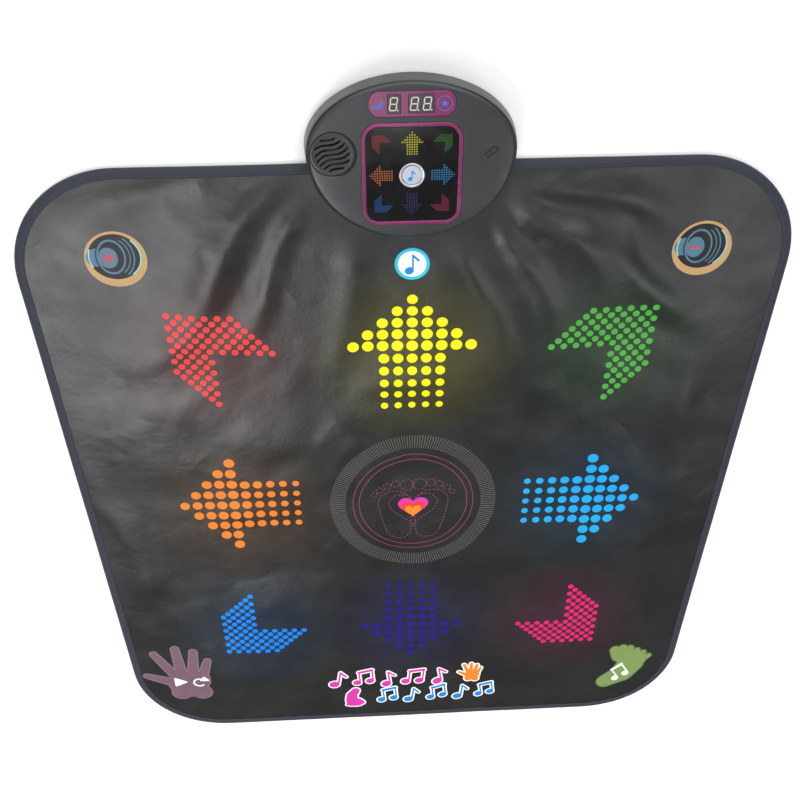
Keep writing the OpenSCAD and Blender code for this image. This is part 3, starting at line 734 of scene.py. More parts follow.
def band(name, centre, radius, width, start=0.0, end=math.tau, steps=160, tall=1.0):
    # a flat ring or arc, built as two prisms' worth of grid and closed
    full = abs(end - start - math.tau) < 1e-6

    def place(u, v):
        a = start + u * (end - start)
        corner = np.rint(v * 4).astype(int) % 4
        r = radius + width * np.array([-0.5, 0.5, 0.5, -0.5])[corner]
        z = np.array([0.0, 0.0, 1.0, 1.0])[corner]
        return centre[0] + r * np.cos(a), centre[1] + r * tall * np.sin(a), z

    piece = bentGrid(name, steps, 4, place, True)
    return piece if full else cleanMesh(piece, True)


def printPiece(piece, material, coats=0):
    layOnMat(piece, coats)
    smooth(piece, 30)
    return fitPiece(piece, material)


def printShape(name, outlines, colour, coats=0):
    # overlapping outlines, printed as one shape in one ink
    return printPiece(gridCut(unite(name, outlines)), inks[colour], coats)


def at(x, y):
    # a place on the print, in millimetres from the ring's centre
    return ringSpot[0] + x * mm, ringSpot[1] + y * mm


straightRows = (1, 3, 5, 7, 9, 5, 5, 5, 5, 5)
dots = {"headSize": 6.9, "tailSize": 4.5, "cornerPitch": 7.19, "cornerSize": 4.1,
        "miniPitch": 2.45, "miniSize": 0.92, "miniCornerPitch": 1.1, "miniCornerSize": 0.52}
# across is the dot pitch over the head; head and tail are the row pitches, from the widest row
arrows = [
    {"name": "yellow", "colour": (0.82, 0.76, 0.003), "at": (-2.5, 247), "turn": 0,
     "across": 17.3, "head": 15.5, "tail": 17.0},
    {"name": "orange", "colour": (0.78, 0.20, 0.02), "at": (-233, 9.4), "turn": 90,
     "across": 17.8, "head": 16.0, "tail": 16.3},
    {"name": "indigo", "colour": (0.012, 0.009, 0.15), "at": (-2.3, -234.3), "turn": 180,
     "across": 16.6, "head": 15.5, "tail": 16.5},
    {"name": "skyBlue", "colour": (0.012, 0.35, 0.76), "at": (231.4, -3.5), "turn": 270,
     "across": 17.8, "head": 15.8, "tail": 16.4},
    {"name": "red", "colour": (0.68, 0.043, 0.040), "at": (-281.3, 297), "mirror": (1, 1),
     "skew": (0.99, 0.03, 0.09, 1.05)},
    {"name": "green", "colour": (0.062, 0.35, 0.043), "at": (280.1, 290), "mirror": (-1, 1),
     "skew": (1.02, 0.02, 0.02, 1.09)},
    {"name": "blue", "colour": (0.001, 0.20, 0.74), "at": (-268.9, -274.2), "mirror": (1, -1),
     "skew": (0.976, -0.014, -0.03, 1.005)},
    {"name": "pink", "colour": (0.65, 0.013, 0.14), "at": (267.0, -284.3), "mirror": (-1, -1),
     "skew": (0.98, -0.016, 0.01, 1.0)},
]


def straightArrow(across, head, tail, headSize, tailSize):
    # dots of an arrow that points along +Y: x, y and radius, from the widest row
    narrow = across * 0.965
    for row, count in enumerate(straightRows):
        y = (4 - row) * (head if row < 4 else tail)
        size = headSize * (0.90 + 0.025 * row)
        if row > 4:
            size = headSize - (headSize - tailSize) * (row - 4) / 5
        for k in range(count):
            yield (k - (count - 1) / 2) * (across if row < 5 else narrow), y, size


def cornerArrow(pitch, size):
    # dots of an arrow into the corner at the upper left, from its outermost dot
    for row in range(17):
        for k in range(17):
            inBar = (row <= 6 and k <= 10 + row) or (k <= 6 and row <= 10 + k)
            if (k + row) % 2 == 0 and inBar:
                yield k * pitch, row * pitch, size


def arrowDots(arrow, mini=False):
    if "turn" in arrow:
        c, s = math.cos(math.radians(arrow["turn"])), math.sin(math.radians(arrow["turn"]))
        if mini:
            pitch, size = dots["miniPitch"], dots["miniSize"]
            places = straightArrow(pitch, pitch, pitch, size, size * 0.9)
        else:
            places = straightArrow(*(arrow[key] for key in ("across", "head", "tail")), dots["headSize"],
                                   dots["tailSize"])
        return [(x * c - y * s, x * s + y * c, r) for x, y, r in places]
    mx, my = arrow["mirror"]
    xx, xy, yx, yy = (1, 0, 0, 1) if mini else arrow["skew"]
    pitch, size = ("miniCornerPitch", "miniCornerSize") if mini else ("cornerPitch", "cornerSize")
    return [((x * xx + y * xy) * mx, -(x * yx + y * yy) * my, r)
            for x, y, r in cornerArrow(dots[pitch], dots[size])]


def stampDots(name, places, sides):
    # one short round dot, copied to every place
    clearSelection()
    bpy.ops.mesh.primitive_cylinder_add(vertices=sides, radius=1, depth=1, location=(0, 0, 0.5))
    dot = settle(bpy.context.object, name)
    bm = bmesh.new()
    for x, y, size in places:
        first = len(bm.verts)
        bm.from_mesh(dot.data)
        bm.verts.ensure_lookup_table()
        for v in bm.verts[first:]:
            v.co.x, v.co.y = v.co.x * size + x, v.co.y * size + y
    bm.to_mesh(dot.data)
    bm.free()
    return dot


for arrow in arrows:
    ax, ay = at(*arrow["at"])
    places = [(ax + x * mm, ay + y * mm, r * mm) for x, y, r in arrowDots(arrow)]
    arrow["ink"] = inkOf(arrow["name"] + "Ink", arrow["colour"])
    printPiece(stampDots(arrow["name"] + "ArrowPrint", places, 20), arrow["ink"])
print("arrow prints made")

inkColours = {
    "white": (0.86, 0.87, 0.88), "grey": (0.15, 0.15, 0.135), "rose": (0.24, 0.050, 0.12),
    "magenta": (0.64, 0.035, 0.38), "scarlet": (0.72, 0.045, 0.03), "amber": (0.80, 0.22, 0.02),
    "cyan": (0.03, 0.50, 0.74), "azure": (0.01, 0.22, 0.62), "steel": (0.075, 0.165, 0.24),
    "paleCyan": (0.26, 0.55, 0.56), "tan": (0.46, 0.29, 0.13), "brick": (0.42, 0.07, 0.08),
    "mauve": (0.165, 0.095, 0.13), "moss": (0.19, 0.28, 0.09), "mossEdge": (0.11, 0.17, 0.055),
    "mauveEdge": (0.23, 0.14, 0.18), "black": (0.012, 0.012, 0.013),
}
inks = {name: inkOf(name + "Ink", colour) for name, colour in inkColours.items()}

# radii and widths in millimetres; shift and tall move and stretch the whole ring lengthwise
centreRing = {"ticks": 200, "tickFrom": 89, "tickTo": 109, "inner": 0.30, "outer": 0.38, "cut": 0.007,
              "lines": (79, 71), "lineWide": 0.9, "tall": 1.025, "shift": 2}


def buildCentreRing():
    # radial ticks, each a thin flat bar copied round the ring
    start, end, inner, outer = (centreRing[key] for key in ("tickFrom", "tickTo", "inner", "outer"))
    bar = np.array([(start, -inner), (end, -outer), (end, outer), (start, inner)])
    middle, tall = at(0, centreRing["shift"]), centreRing["tall"]
    parts = []
    for k in range(centreRing["ticks"]):
        a = math.tau * (k + 0.5) / centreRing["ticks"]
        turn = np.array([[math.cos(a), math.sin(a)], [-math.sin(a), math.cos(a)]])
        parts.append(prism(f"tick{k}", np.array(middle) + bar @ turn * (mm, mm * tall)))
    printPiece(gridCut(joinAll("ringTicks", parts), centreRing["cut"]), inks["grey"])
    for k, radius in enumerate(centreRing["lines"]):
        line = band(f"ringLine{k}", middle, radius * mm, centreRing["lineWide"] * mm, tall=tall)
        printPiece(line, inks["rose"])


def smoothLoop(points, count, closed=True):
    # evenly spaced points on a smooth curve through given ones
    p = np.array(points, float)
    n = len(p)
    fine = []
    for i in range(n if closed else n - 1):
        quad = [p[(i + k) % n] if closed else p[min(max(i + k, 0), n - 1)] for k in (-1, 0, 1, 2)]
        for t in np.linspace(0, 1, 12, endpoint=False):
            fine.append(0.5 * ((2 * quad[1]) + (quad[2] - quad[0]) * t
                               + (2 * quad[0] - 5 * quad[1] + 4 * quad[2] - quad[3]) * t * t
                               + (3 * quad[1] - quad[0] - 3 * quad[2] + quad[3]) * t ** 3))
    fine = np.array(fine + [fine[0] if closed else p[-1]])
    run = np.concatenate([[0], np.cumsum(np.linalg.norm(np.diff(fine, axis=0), axis=1))])
    where = np.linspace(0, run[-1], count, endpoint=not closed)
    return np.stack([np.interp(where, run, fine[:, k]) for k in (0, 1)], axis=1), run[-1]


dashes = {"long": 2.8, "gap": 2.6, "wide": 0.9}


def printDashes(name, loops):
    # short printed dashes along each loop
    parts = []
    for points, closed in loops:
        length = smoothLoop(points, 8, closed)[1]
        count = max(4, int(length / (dashes["long"] + dashes["gap"])))
        ends = smoothLoop(points, count * 2, closed)[0] + (0, centreRing["shift"])
        half = dashes["wide"] * mm / 2
        for k in range(0, len(ends) - 1, 2):
            outline = capsuleOutline(at(*ends[k]), at(*ends[(k + 1) % len(ends)]), half, half, 4)
            parts.append(prism(f"dash{len(parts)}", outline))
    printPiece(joinAll(name, parts), inks["rose"])


def heartOutline(middle, width, height, steps=48):
    a = np.linspace(0, math.tau, steps, endpoint=False)
    x = np.sin(a) ** 3
    y = (13 * np.cos(a) - 5 * np.cos(2 * a) - 2 * np.cos(3 * a) - np.cos(4 * a)) / 29 + 0.09
    return np.stack([x * width / 2, middle + y * height], axis=1)


hearts = [("heartOuter", "magenta", 40, 34, -7, 0), ("heartMiddle", "scarlet", 32, 27, -10, 3),
          ("heartInner", "amber", 22, 19, -13, 6)]
soleLeft = [(-3, -10), (-5, 8), (-14, 18), (-30, 21), (-42, 14), (-46, 2), (-43, -18), (-38, -38),
            (-33, -52), (-22, -60), (-8, -58), (-3, -44)]
toesLeft = [(-8, 31, 9), (-23, 33, 5.6), (-34, 30, 5), (-44, 24, 4.6), (-51, 17, 4.0)]


def buildFeet():
    loops = []
    for side in (1, -1):
        loops.append(([(x * side, y) for x, y in soleLeft], True))
        for x, y, r in toesLeft:
            a = np.linspace(0, math.tau, 8, endpoint=False)
            loops.append((np.stack([side * x + r * np.cos(a), y + r * np.sin(a)], axis=1), True))
    printDashes("feetDashes", loops)
    printDashes("heartDashes", [(heartOutline(-13, 64, 56, 22), True)])
    for name, colour, wide, tall, middle, coats in hearts:
        outline = np.array([at(x, y) for x, y in heartOutline(middle, wide, tall)])
        printShape(name, [outline], colour, coats)


buildCentreRing()
buildFeet()
print("centre ring made")


def outlinesAt(shapes, centre, turn=0.0, size=1.0, grow=0.0):
    # shapes are rounded bars (x0, y0, r0, x1, y1, r1) in millimetres round their own middle
    c, s = math.cos(math.radians(turn)), math.sin(math.radians(turn))

    def spot(x, y):
        x, y = x * size, y * size
        return at(centre[0] + x * c - y * s, centre[1] + x * s + y * c)

    return [capsuleOutline(spot(x0, y0), spot(x1, y1), (r0 * size + grow) * mm, (r1 * size + grow) * mm)
            for x0, y0, r0, x1, y1, r1 in shapes]


noteShape = [(-4, -9, 4.6, -2.6, -8.4, 4.6), (0.9, -8, 1.0, 0.9, 11, 1.0),
             (0.9, 11, 1.0, 7.5, 4.5, 1.3)]
pairShape = [(-9, -9, 4.4, -7.8, -8.5, 4.4), (7, -7, 4.4, 8.2, -6.5, 4.4),
             (-4.6, -8, 1.0, -4.6, 9, 1.0), (11.4, -6, 1.0, 11.4, 12, 1.0),
             (-4.6, 9.4, 1.9, 11.4, 12.4, 1.9)]
handShape = [(-12, -18, 9.5, -47, -1, 6), (-7, 2, 9, -30, 48, 6.6), (5, 8, 9, 2, 57, 7),
             (23, 8, 9, 28, 50, 6.8), (36, -4, 9, 47, 31, 6.2), (4, -6, 15, 32, -8, 15),
             (4, -16, 21, 27, -16, 20), (-8, -22, 11, 0, -38, 14), (0, -43, 16, 2, -40, 16),
             (31, -43, 16, 29, -40, 16), (15, -34, 20, 17, -30, 20)]
footShape = [(-27, -27, 14.5, -3, -10, 19), (-3, -10, 19, 8, 12, 22), (-18, 43, 10, -10, 30, 14),
             (8, 22, 21, 16, 22, 17), (-7, 48, 7.5, -4, 38, 9), (4, 47, 6.8, 4, 38, 8),
             (15, 42, 6.2, 12, 32, 9), (25, 37, 5.8, 18, 28, 9), (34, 29, 5.6, 24, 22, 9)]
playShape = [(-6, -7, 1.6, -6, 7, 1.6), (-6, 7, 1.6, 7, 0, 1.6), (-6, -7, 1.6, 7, 0, 1.6),
             (-4, -3, 2.6, -4, 3, 2.6), (-2, 0, 3.0, 2, 0, 2.0)]


def badge(x, y):
    # wireless badge: white disc in a cyan ring, with a plain note in it
    printShape("badgeDisc", [ellipseOutline(at(x, y), 16.5, 16.5)], "white")
    printPiece(band("badgeRing", at(x, y), 17.6 * mm, 3.6 * mm), inks["cyan"], 3)
    printShape("badgeNote", outlinesAt(noteShape, (x, y), 0, 0.95), "azure", 4)


volume = {"ring": 33.5, "well": (28.0, 27.0), "side": (11.4, 11), "sideCut": (17, 22), "disc": (10.4, 12.6),
          "loop": (14.6, 1.9, 1.36), "arcs": ((18.2, 60, 1.2), (21.6, 56, 1.4)),
          "shine": (27.6, 1.4, 0.965), "shines": ((-0.95, 0.8), (2.75, 3.6)), "bar": (5.4, 1.7)}


def volumeBadge(name, x, y, sign):
    # a stylised loudspeaker button: tan ring, nested blue rings and a plus or minus
    def cut(part, outline, hole):
        return cutWith(prism(name + part, outline), lift(prism(name + part + "Hole", hole), -1, 2))

    def spot(dx, dy):
        return at(x + dx, y + dy)

    middle, (wide, tall) = spot(-0.6, 3.0), volume["well"]
    hole = ellipseOutline(middle, wide + 0.4, tall + 0.4, 72)
    outer = ellipseOutline(at(x, y), volume["ring"], volume["ring"], 72)
    printPiece(gridCut(cut("Ring", outer, hole)), inks["tan"])
    printShape(name + "Well", [ellipseOutline(middle, wide, tall, 64)], "black")
    hole = ellipseOutline(spot(-4.5, 3), *volume["sideCut"])
    printPiece(gridCut(cut("Side", ellipseOutline(spot(-20, 3), *volume["side"]), hole)), inks["steel"], 3)
    radius, width, tall = volume["loop"]
    printPiece(band(name + "Loop", spot(-4.5, 3), radius * mm, width * mm, tall=tall), inks["steel"], 3)
    printShape(name + "Disc", [ellipseOutline(spot(-8, 2), *volume["disc"])], "steel", 3)
    for k, (radius, half, width) in enumerate(volume["arcs"]):
        end = math.radians(half)
        arc = band(f"{name}Arc{k}", spot(-2.6 + k, 3), radius * mm, width * mm, -end, end, 40, 1.22)
        printPiece(arc, inks["steel"], 3)
    radius, width, tall = volume["shine"]
    for k, (start, end) in enumerate(volume["shines"]):
        shine = band(f"{name}Shine{k}", middle, radius * mm, width * mm, start, end, 48, tall)
        printPiece(shine, inks["paleCyan"], 4)
    reach, r = volume["bar"]
    bars = [(-reach, 0, r, reach, 0, r)] + ([(0, -reach, r, 0, reach, r)] if sign == "+" else [])
    printShape(name + "Sign", outlinesAt(bars, (x - 8, y + 2)), "brick", 6)


badge(-3, 354)
volumeBadge("volumeUp", -325, 369, "+")
volumeBadge("volumeDown", 321, 363, "-")
repeatHead = [(-1.5, 0, 1.6, 9, 0, 1.6), (9, 0, 1.6, 4, 7, 1.6), (4, 7, 1.6, -1.5, 0, 1.6),
              (3, 1.5, 2.4, 4.5, 3, 2.2)]
repeatRing = bandOutline(at(-321, -343), 8.2, 2.8, 20, 320)
handAt, footAt, rim = (-350, -323), (328, -356), -1.9
for row in (("handPrint", outlinesAt(handShape, handAt), "mauveEdge"),
            ("handFill", outlinesAt(handShape, handAt, grow=rim), "mauve", 3),
            ("handPlay", outlinesAt(playShape, (-349, -341), 0, 1.15), "white", 6),
            ("handRepeat", [repeatRing] + outlinesAt(repeatHead, (-316.5, -338)), "white", 6),
            ("footPrint", outlinesAt(footShape, footAt), "mossEdge"),
            ("footFill", outlinesAt(footShape, footAt, grow=rim), "moss", 3),
            ("footNotes", outlinesAt(pairShape, (319, -363), 32, 1.15), "white", 6)):
    printShape(*row)
print("badges made")

# a plain row of notes stands where the title is printed
motif = [
    ("note", "magenta", (-112, -352), -8, 1.45), ("pair", "magenta", (-74, -350), 4, 1.25),
    ("note", "magenta", (-36, -354), 6, 1.35), ("pair", "magenta", (2, -351), -5, 1.3),
    ("note", "magenta", (42, -352), 8, 1.4), ("pair", "azure", (-38, -392), 5, 1.2),
    ("note", "azure", (0, -394), -6, 1.3), ("pair", "azure", (38, -391), 6, 1.2),
    ("note", "azure", (76, -393), -4, 1.3), ("pair", "azure", (112, -390), 8, 1.15),
]
shapes = {"note": noteShape, "pair": pairShape, "hand": handShape, "foot": footShape}
motif = [(f"motifEdge{k}", f"motifNote{k}", *row) for k, row in enumerate(motif)]
motif += [("motifHandEdge", "motifHand", "hand", "amber", (88, -348), -6, 0.34),
          ("motifFootEdge", "motifFoot", "foot", "magenta", (-92, -396), 205, 0.42)]
for edge, name, shape, colour, centre, turn, size in motif:
    printShape(edge, outlinesAt(shapes[shape], centre, turn, size, 2.2), "white")
    printShape(name, outlinesAt(shapes[shape], centre, turn, size), colour, 4)
print("motif made")


def centreOf(node):
    lowCorner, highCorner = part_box(node)
    return (lowCorner + highCorner) / 2, highCorner - lowCorner, lowCorner.z, highCorner.z


def blockOver(name, node, radius, gap=0.0, heights=None, segments=10):
    # a rounded block over a node's own box, wider by a gap on each side
    mid, size, *own = centreOf(node)
    size = (size.x + 2 * gap, size.y + 2 * gap)
    return roundBlock(name, size, radius, *(heights or own), (mid.x, mid.y), segments)


def polish(piece, bevel, segments):
    return smooth(bevelEdges(piece, bevel, segments, 50), 50, True)


def lathe(name, profile, centre, steps=96):
    # turns a closed profile of (radius, height) round an upright line
    points = np.array(list(profile) + [profile[0]])

    def place(u, v):
        k = np.rint(v * (len(points) - 1)).astype(int)
        a = u * math.tau
        return centre[0] + points[k, 0] * np.cos(a), centre[1] + points[k, 0] * np.sin(a), points[k, 1]

    return bentGrid(name, steps, len(points) - 1, place, True)


shellSize = centreOf("upper_shell")[1]
console = {
    "halfWidth": shellSize.x / 2, "middle": 0.4355, "rearHalf": 0.0725, "frontHalf": 0.098,
    "lean": 0.0047, "rearLean": 0.35, "frontLean": 1.2, "stations": 192, "wall": 0.0024,
}


def eggPoint(turn, share, inset):
    # the console's outline, leaned in by share and drawn in by inset
    across = console["halfWidth"] - share * console["lean"] - inset
    rear = console["rearHalf"] - share * console["lean"] * console["rearLean"] - inset
    front = console["frontHalf"] - share * console["lean"] * console["frontLean"] - inset
    along = np.where(np.sin(turn) > 0, rear, front)
    return across * np.cos(turn), console["middle"] + along * np.sin(turn)


def eggShell(name, levels, core):
    # a closed wall from (share, inset, height) levels; where core is 0 the level is drawn to the middle
    levels = np.array(levels)
    core = np.array(core)

    def place(u, v):
        k = np.rint(v * (len(levels) - 1)).astype(int)
        x, y = eggPoint(u * math.tau, levels[k, 0], levels[k, 1] * mm)
        x, y = x * core[k], console["middle"] + (y - console["middle"]) * core[k]
        return x, y, levels[k, 2] * mm

    return bentGrid(name, console["stations"], len(levels) - 1, place, True)


housing = moulded("housingPlastic", (0.022, 0.024, 0.027), 0.35, 1500, 0.03, 0.10, Specular_IOR_Level=0.5)
grilleBlack = moulded("grillePlastic", (0.013, 0.0145, 0.018), 0.30, 1200, 0.02)
magentaGloss = moulded("magentaPlastic", (0.165, 0.011, 0.086), 0.24, 260, 0.02, 0.18, Coat_Weight=0.25)
panelBlack = moulded("glossyBlack", (0.003, 0.003, 0.0035), 0.12, 500, 0.003, 0.05, Specular_IOR_Level=0.4)
silver = metal("satinSilver", (0.50, 0.51, 0.55), 0.42)
buttonWhite = moulded("buttonWhite", (0.42, 0.46, 0.52), 0.34, 700, 0.01, 0.03)


batterySign = {"turn": 40, "floor": 0.0408, "over": 0.0424}


def buildTopShell():
    outer = [(0, 0.35, 16.0), (0, 0, 16.35), (0.1, 0, 21), (0.22, 0, 27), (0.36, 0, 33),
             (0.43, 0, 35.6), (0.5, 0, 36.5), (0.56, 0, 37.15), (0.62, 0.08, 37.6), (0.67, 0.28, 37.8),
             (0.705, 0.5, 37.7), (0.715, 0.6, 37.3), (0.72, 0.6, 36.6), (0.75, 0.6, 36.4),
             (0.96, 0.1, 36.4), (1, 0, 36.6), (1, 0, 38.9), (1, 0.06, 39.5), (1, 0.3, 40.0),
             (1, 0.8, 40.45), (1, 1.7, 40.8), (1, 3.4, 41.15), (1, 6, 41.4), (1, 10, 41.7),
             (1, 14, 41.9), (1, 21, 42), (1, 30, 42), (1, 30, 42)]
    inner = [(1, 30, 39.6), (1, 30, 39.6), (1, 6, 39.0), (1, 3.0, 38.2), (1, 2.0, 36.0),
             (0.8, 2.4, 33.5), (0.3, 2.4, 27), (0, 2.4, 16.0), (0, 0.35, 16.0)]
    core = [1] * (len(outer) - 1) + [0, 0] + [1] * (len(inner) - 1)
    shell = eggShell("consoleTop", outer + inner, core)
    top, deep, gap = 0.05, 0.034, 0.0003
    for node, radius in (("panel_frame", 0.0173), ("display_lens", 0.0113)):
        cutWith(shell, blockOver("hole", node, radius, gap, (deep, top)))
    mid, size = centreOf("speaker_grille")[:2]
    r, lip = size.x / 2 + gap, size.x / 2 + gap + 0.0016
    profile = [(0, deep), (r, deep), (r, 0.0406), (lip, 0.0421), (lip, top), (0, top)]
    cutWith(shell, lathe("hole", profile, (mid.x, mid.y)))
    # the sunk battery sign: a rounded outline with a cap and two short bars
    floor, over = batterySign["floor"], batterySign["over"]
    outline = cutWith(roundBlock("sign", (0.0132, 0.0066), 0.0012, floor, over),
                      roundBlock("signInner", (0.0112, 0.0044), 0.0006, floor - 0.0008, over + 0.0016))
    parts = [outline, roundBlock("cap", (0.0012, 0.003), 0.0004, floor, over, (0.0076, 0))]
    for k in range(2):
        parts.append(roundBlock(f"bar{k}", (0.0014, 0.0028), 0.0004, floor, over, (-0.0032 + 0.0028 * k, 0)))
    for part in parts:
        part.rotation_euler.z = math.radians(batterySign["turn"])
        part.location = (-mid.x, mid.y, 0)
        settle(part)
        cutWith(shell, part)
    fitPiece(smooth(shell, 32, True), housing, "upper_shell")


# places of the small arrows round the panel's middle, in millimetres
panel = {"gap": 0.0002, "buttonHole": 0.0133, "sunk": 0.0001, "proud": 0.00006,
         "inkShare": 0.36, "inkBase": 0.012,
         "yellow": (0, 34.5), "orange": (-32.5, 0), "indigo": (0, -32), "skyBlue": (32.5, 0),
         "red": (-39.5, 41.5), "green": (39.5, 41.5), "blue": (-38, -39), "pink": (37.5, -39)}


def buildPanel():
    z0, z1 = centreOf("panel_frame")[2:]
    ring = blockOver("panelFrame", "panel_frame", 0.017, segments=14)
    cutWith(ring, blockOver("inside", "arrow_panel", 0.0132, panel["gap"], (z0 - mm, z1 + mm), 14))
    fitPiece(polish(ring, 0.0008, 4), magentaGloss, "panel_frame")

    mid, _, z0, z1 = centreOf("arrow_panel")
    glass = blockOver("arrowPanel", "arrow_panel", 0.013, segments=14)
    button = centreOf("button_icon")[0]
    cutWith(glass, roundBar("buttonHole", panel["buttonHole"], z0 - mm, z1 + mm, (button.x, button.y)))
    fitPiece(polish(glass, 0.00025, 2), panelBlack, "arrow_panel")
    for arrow in arrows:
        sx, sy = panel[arrow["name"]]
        places = [(mid.x + (sx + x) * mm, mid.y + (sy + y) * mm, r * mm)
                  for x, y, r in arrowDots(arrow, True)]
        mini = stampDots(arrow["name"] + "PanelPrint", places, 10)
        smooth(lift(mini, z1 - panel["sunk"], z1 + panel["proud"]), 30)
        dull = tuple(panel["inkShare"] * channel + panel["inkBase"] for channel in arrow["colour"])
        fitPiece(mini, inkOf(arrow["name"] + "PanelInk", dull, 0.25))


buttonNote = [(-2.2, -3.6, 1.9, -1.6, -3.4, 1.9), (0.0, -3.2, 0.55, 0.0, 4.6, 0.55),
              (0.0, 4.6, 0.55, 2.9, 1.9, 0.65)]


def buildButton():
    z0, z1 = centreOf("button_ring")[2:]
    icon, _, _, iconTop = centreOf("button_icon")
    spot = (icon.x, icon.y)
    ring = lathe("buttonRing", [
        (0, z0), (0.0035, z0), (0.0035, z1 - 0.0036), (0.0129, z1 - 0.0034), (0.0130, z1 - 0.0032),
        (0.0130, z1 - 0.0006), (0.01285, z1 - 0.00022), (0.0125, z1 - 0.00004), (0.0120, z1),
        (0.0112, z1 - 0.0001), (0.0105, z1 - 0.0004), (0.0102, z1 - 0.0009), (0.0102, z1 - 0.0016),
        (0, z1 - 0.0016)], spot)
    fitPiece(smooth(ring, 32), silver, "button_ring", "button")
    top = iconTop - 0.0003
    disc = lathe("buttonCap", [
        (0, z1 - 0.0014), (0.0098, z1 - 0.0014), (0.0099, z1 - 0.0012), (0.0099, z1 - 0.0004),
        (0.0097, z1 - 0.0001), (0.0091, z1 + 0.00012), (0.0075, z1 + 0.00024), (0.0045, top - 0.00002),
        (0, top)], spot)
    fitPiece(smooth(disc, 50, True), buttonWhite, "button_icon", "button")
    outlines = [capsuleOutline((icon.x + x0 * mm, icon.y + y0 * mm), (icon.x + x1 * mm, icon.y + y1 * mm),
                               r0 * mm, r1 * mm) for x0, y0, r0, x1, y1, r1 in buttonNote]
    note = lift(unite("buttonNote", outlines), z1 - 0.0002, iconTop)
    fitPiece(note, inkOf("buttonBlue", (0.02, 0.20, 0.62), 0.3), body="button")


display = {"digits": {"level_digit": 1, "score_digits": 2}, "slant": 8, "long": 0.0033, "tall": 0.0062,
           "halfWide": 0.000525, "gap": 0.00085, "dot": 0.00075, "dotOut": 0.0016, "left": 0.0006,
           "sunk": 0.0001, "proud": 0.00005, "digitProud": 0.00008,
           "bars": (-0.0380, -0.0035), "star": 0.0316, "starRadii": (0.0042, 0.0017)}


def digitOutlines(cx, cy):
    # the seven leaning segments of one digit, and its point
    long, tall, gap, half = (display[key] for key in ("long", "tall", "gap", "halfWide"))
    slant = math.tan(math.radians(display["slant"]))
    ends = [(-long + gap, y, long - gap, y) for y in (-tall, 0, tall)]
    ends += [(x, y + gap, x, y + tall - gap) for x in (-long, long) for y in (-tall, 0)]
    outlines = [capsuleOutline((cx + x0 + slant * y0, cy + y0), (cx + x1 + slant * y1, cy + y1),
                               half, half, 5) for x0, y0, x1, y1 in ends]
    dot = (cx + long + display["dotOut"] - slant * tall, cy - tall)
    return outlines + [capsuleOutline(dot, dot, display["dot"], display["dot"], 6)]


def buildDisplay():
    lens, _, z0, z1 = centreOf("display_lens")
    pill = blockOver("displayLens", "display_lens", 0.011, segments=16)
    dark = moulded("moduleGrey", (0.030, 0.026, 0.030), 0.18, 600, 0.004)
    pale = inkOf("segmentPale", (0.62, 0.60, 0.56), 0.3)
    face = z1 - display["sunk"]
    for node, count in display["digits"].items():
        mid, part, partLow, _ = centreOf(node)
        name = node.replace("_", "")
        cutWith(pill, blockOver("window", node, 0.0006, 0.0002, (z0 - mm, z1 + mm), 3))
        block = blockOver(name + "Block", node, 0.0004, 0.0, (partLow, face), 2)
        fitPiece(bevelEdges(block, 0.0002, 2, 60), dark, node)
        outlines = []
        for digit in range(count):
            middle = mid.x + (digit - (count - 1) / 2) * part.x / count - display["left"]
            outlines += digitOutlines(middle, mid.y)
        digits = joinAll(name + "Segments", [prism(f"segment{k}", o) for k, o in enumerate(outlines)])
        fitPiece(lift(digits, face - display["sunk"], face + display["digitProud"]), pale)
    fitPiece(polish(pill, 0.00035, 3), magentaGloss, "display_lens")
    blue = inkOf("displayBlue", (0.05, 0.16, 0.50), 0.25)
    top, (bx, by) = z1 + display["proud"], display["bars"]
    bars = [roundBlock(f"level{k}", (0.0018, 0.0022 + 0.0018 * k), 0.0003, face, top,
                       (lens.x + bx + 0.0028 * k, lens.y + by + 0.0009 * k), 2) for k in range(4)]
    spot = (lens.x + display["star"], lens.y)
    a = np.arange(10) * math.tau / 10 + math.pi / 2
    reach = np.where(np.arange(10) % 2, display["starRadii"][1], display["starRadii"][0])
    star = np.stack([spot[0] + reach * np.cos(a), spot[1] + reach * np.sin(a)], axis=1)
    ring = band("scoreRing", spot, 0.0072, 0.0006, 0, math.tau, 72)
    signs = [joinAll("levelBars", bars), lift(ring, face, top), lift(prism("scoreStar", star), face, top)]
    for sign in signs:
        fitPiece(sign, blue)


grille = {"slots": 7, "pitch": 4.8, "wide": 2.3, "reach": 18.6, "curl": 0.0018, "drift": 0.5, "bevel": 0.0006}


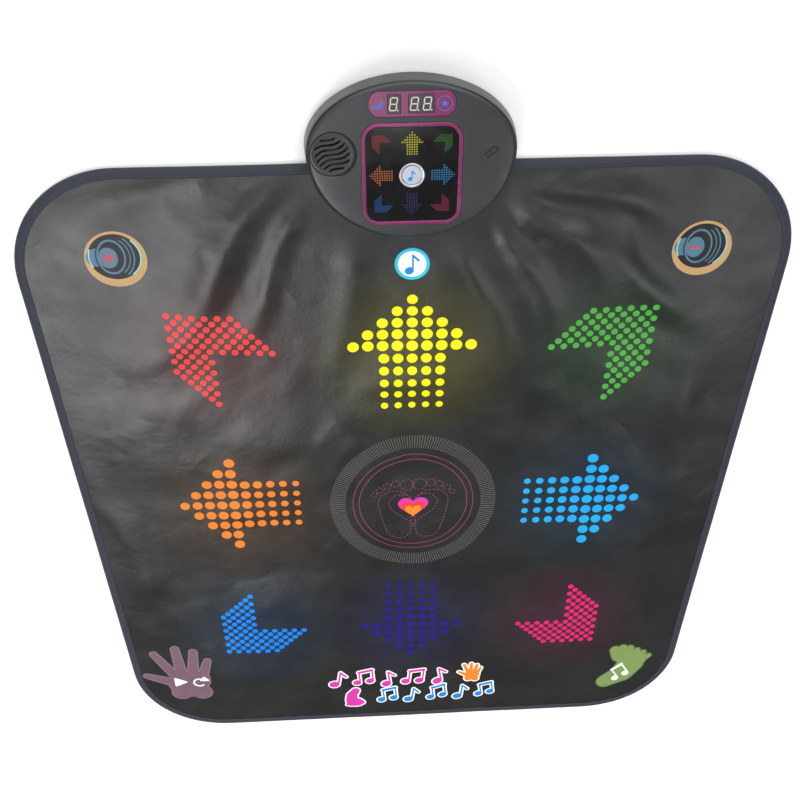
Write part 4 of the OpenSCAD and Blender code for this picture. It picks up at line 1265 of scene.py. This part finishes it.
def buildGrille():
    # a round plate with wavy slots between rounded ribs; slot sizes are in millimetres
    mid, size, z0, z1 = centreOf("speaker_grille")
    r = size.x / 2
    profile = [(0, z0), (r, z0), (r, z1 - 0.0004), (r - 0.0004, z1), (r - 0.0022, z1 + 0.0001),
               (r - 0.0034, z1 - 0.0002), (r * 0.6, z1 - 0.0002), (0, z1 - 0.0002)]
    disc = lathe("speakerGrille", profile, (mid.x, mid.y))
    for k in range(grille["slots"]):
        offset = (k - (grille["slots"] - 1) / 2) * grille["pitch"]
        x = np.linspace(-20, 20, 121)
        bow = x + grille["drift"] * offset
        y = offset + grille["curl"] * bow ** 3 + 0.06 * bow
        keep = np.hypot(x, y) < grille["reach"]
        x, y = x[keep][::4], y[keep][::4]
        ahead = np.stack([np.gradient(x), np.gradient(y)], axis=1)
        ahead /= np.linalg.norm(ahead, axis=1)[:, None]
        side = np.stack([-ahead[:, 1], ahead[:, 0]], axis=1)
        run = np.linspace(-1, 1, len(x))
        wide = grille["wide"] / 2 * np.sqrt(np.clip(1 - run ** 12, 0.08, 1))[:, None]
        line = np.stack([x, y], axis=1)
        outline = np.concatenate([line - side * wide, (line + side * wide)[::-1]]) * mm
        cutWith(disc, lift(prism("slot", outline + np.array([mid.x, mid.y])), z0 - 0.001, z1 + 0.002))
    fitPiece(polish(disc, grille["bevel"], 3), grilleBlack, "speaker_grille")


buildTopShell()
buildPanel()
buildButton()
buildDisplay()
buildGrille()
print("console made")

board = Nodes("boardGreen")
trace = board.add("ShaderNodeTexBrick", [("Vector", board.coords)], Scale=160)
trace.inputs["Color1"].default_value = (0.006, 0.075, 0.030, 1)
trace.inputs["Color2"].default_value = (0.008, 0.095, 0.038, 1)
trace.inputs["Mortar"].default_value = (0.02, 0.16, 0.06, 1)
boardGreen = board.finish(trace.outputs["Color"], 0.35, board.bump(trace.outputs["Fac"], 0.03 * mm))
foam = Nodes("greyFoam")
cells = foam.add("ShaderNodeTexVoronoi", [("Vector", foam.coords)], Scale=900).outputs["Distance"]
tone = foam.mix(cells, (0.10, 0.10, 0.11), (0.22, 0.22, 0.24))
greyFoam = foam.finish(tone, 0.9, foam.bump(cells, 0.3 * mm))
filmClear = moulded("milkyFilm", (0.55, 0.57, 0.60), 0.35, 400, 0.01)
carbonPad = moulded("carbonPad", (0.018, 0.018, 0.020), 0.55, 1800, 0.03)
steel = metal("screwSteel", (0.42, 0.42, 0.44), 0.32)
brass = metal("springMetal", (0.62, 0.56, 0.42), 0.30)
finishes = {
    "lower_film upper_film flex_tail": filmClear, "spacer_foam": greyFoam,
    "clamp_plate": moulded("clampPlastic", (0.016, 0.016, 0.018), 0.45),
    "clamp_screws housing_screws board_screws door_screw": steel,
    "lower_shell battery_door": housing,
    "battery_tray light_baffle": moulded("innerPlastic", (0.022, 0.022, 0.024), 0.5),
    "rubber_feet": moulded("footRubber", (0.011, 0.011, 0.012), 0.75, 2200, 0.05),
    "speaker_gasket speaker_driver switch_knob switch_body tact_switch controller_chip":
        moulded("partBlack", (0.008, 0.008, 0.0042), 0.4),
    "flex_connector board_link": moulded("socketIvory", (0.55, 0.52, 0.44), 0.45),
    "arrow_leds": moulded("lampClear", (0.70, 0.70, 0.66), 0.2),
    "led_board display_board": boardGreen,
    "speaker_wires battery_wires": moulded("wireRed", (0.45, 0.012, 0.010), 0.45),
    "batteries": moulded("cellWrap", (0.05, 0.09, 0.16), 0.28), "battery_contacts": brass,
}
pads = [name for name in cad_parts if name.startswith("pad_")]
finishes[" ".join(pads)] = carbonPad
for names, material in finishes.items():
    for name in names.split():
        node = bpy.data.objects.get(name)
        if node is not None and not node.hide_render:
            finishWith(node, material)
print("frame pieces finished")
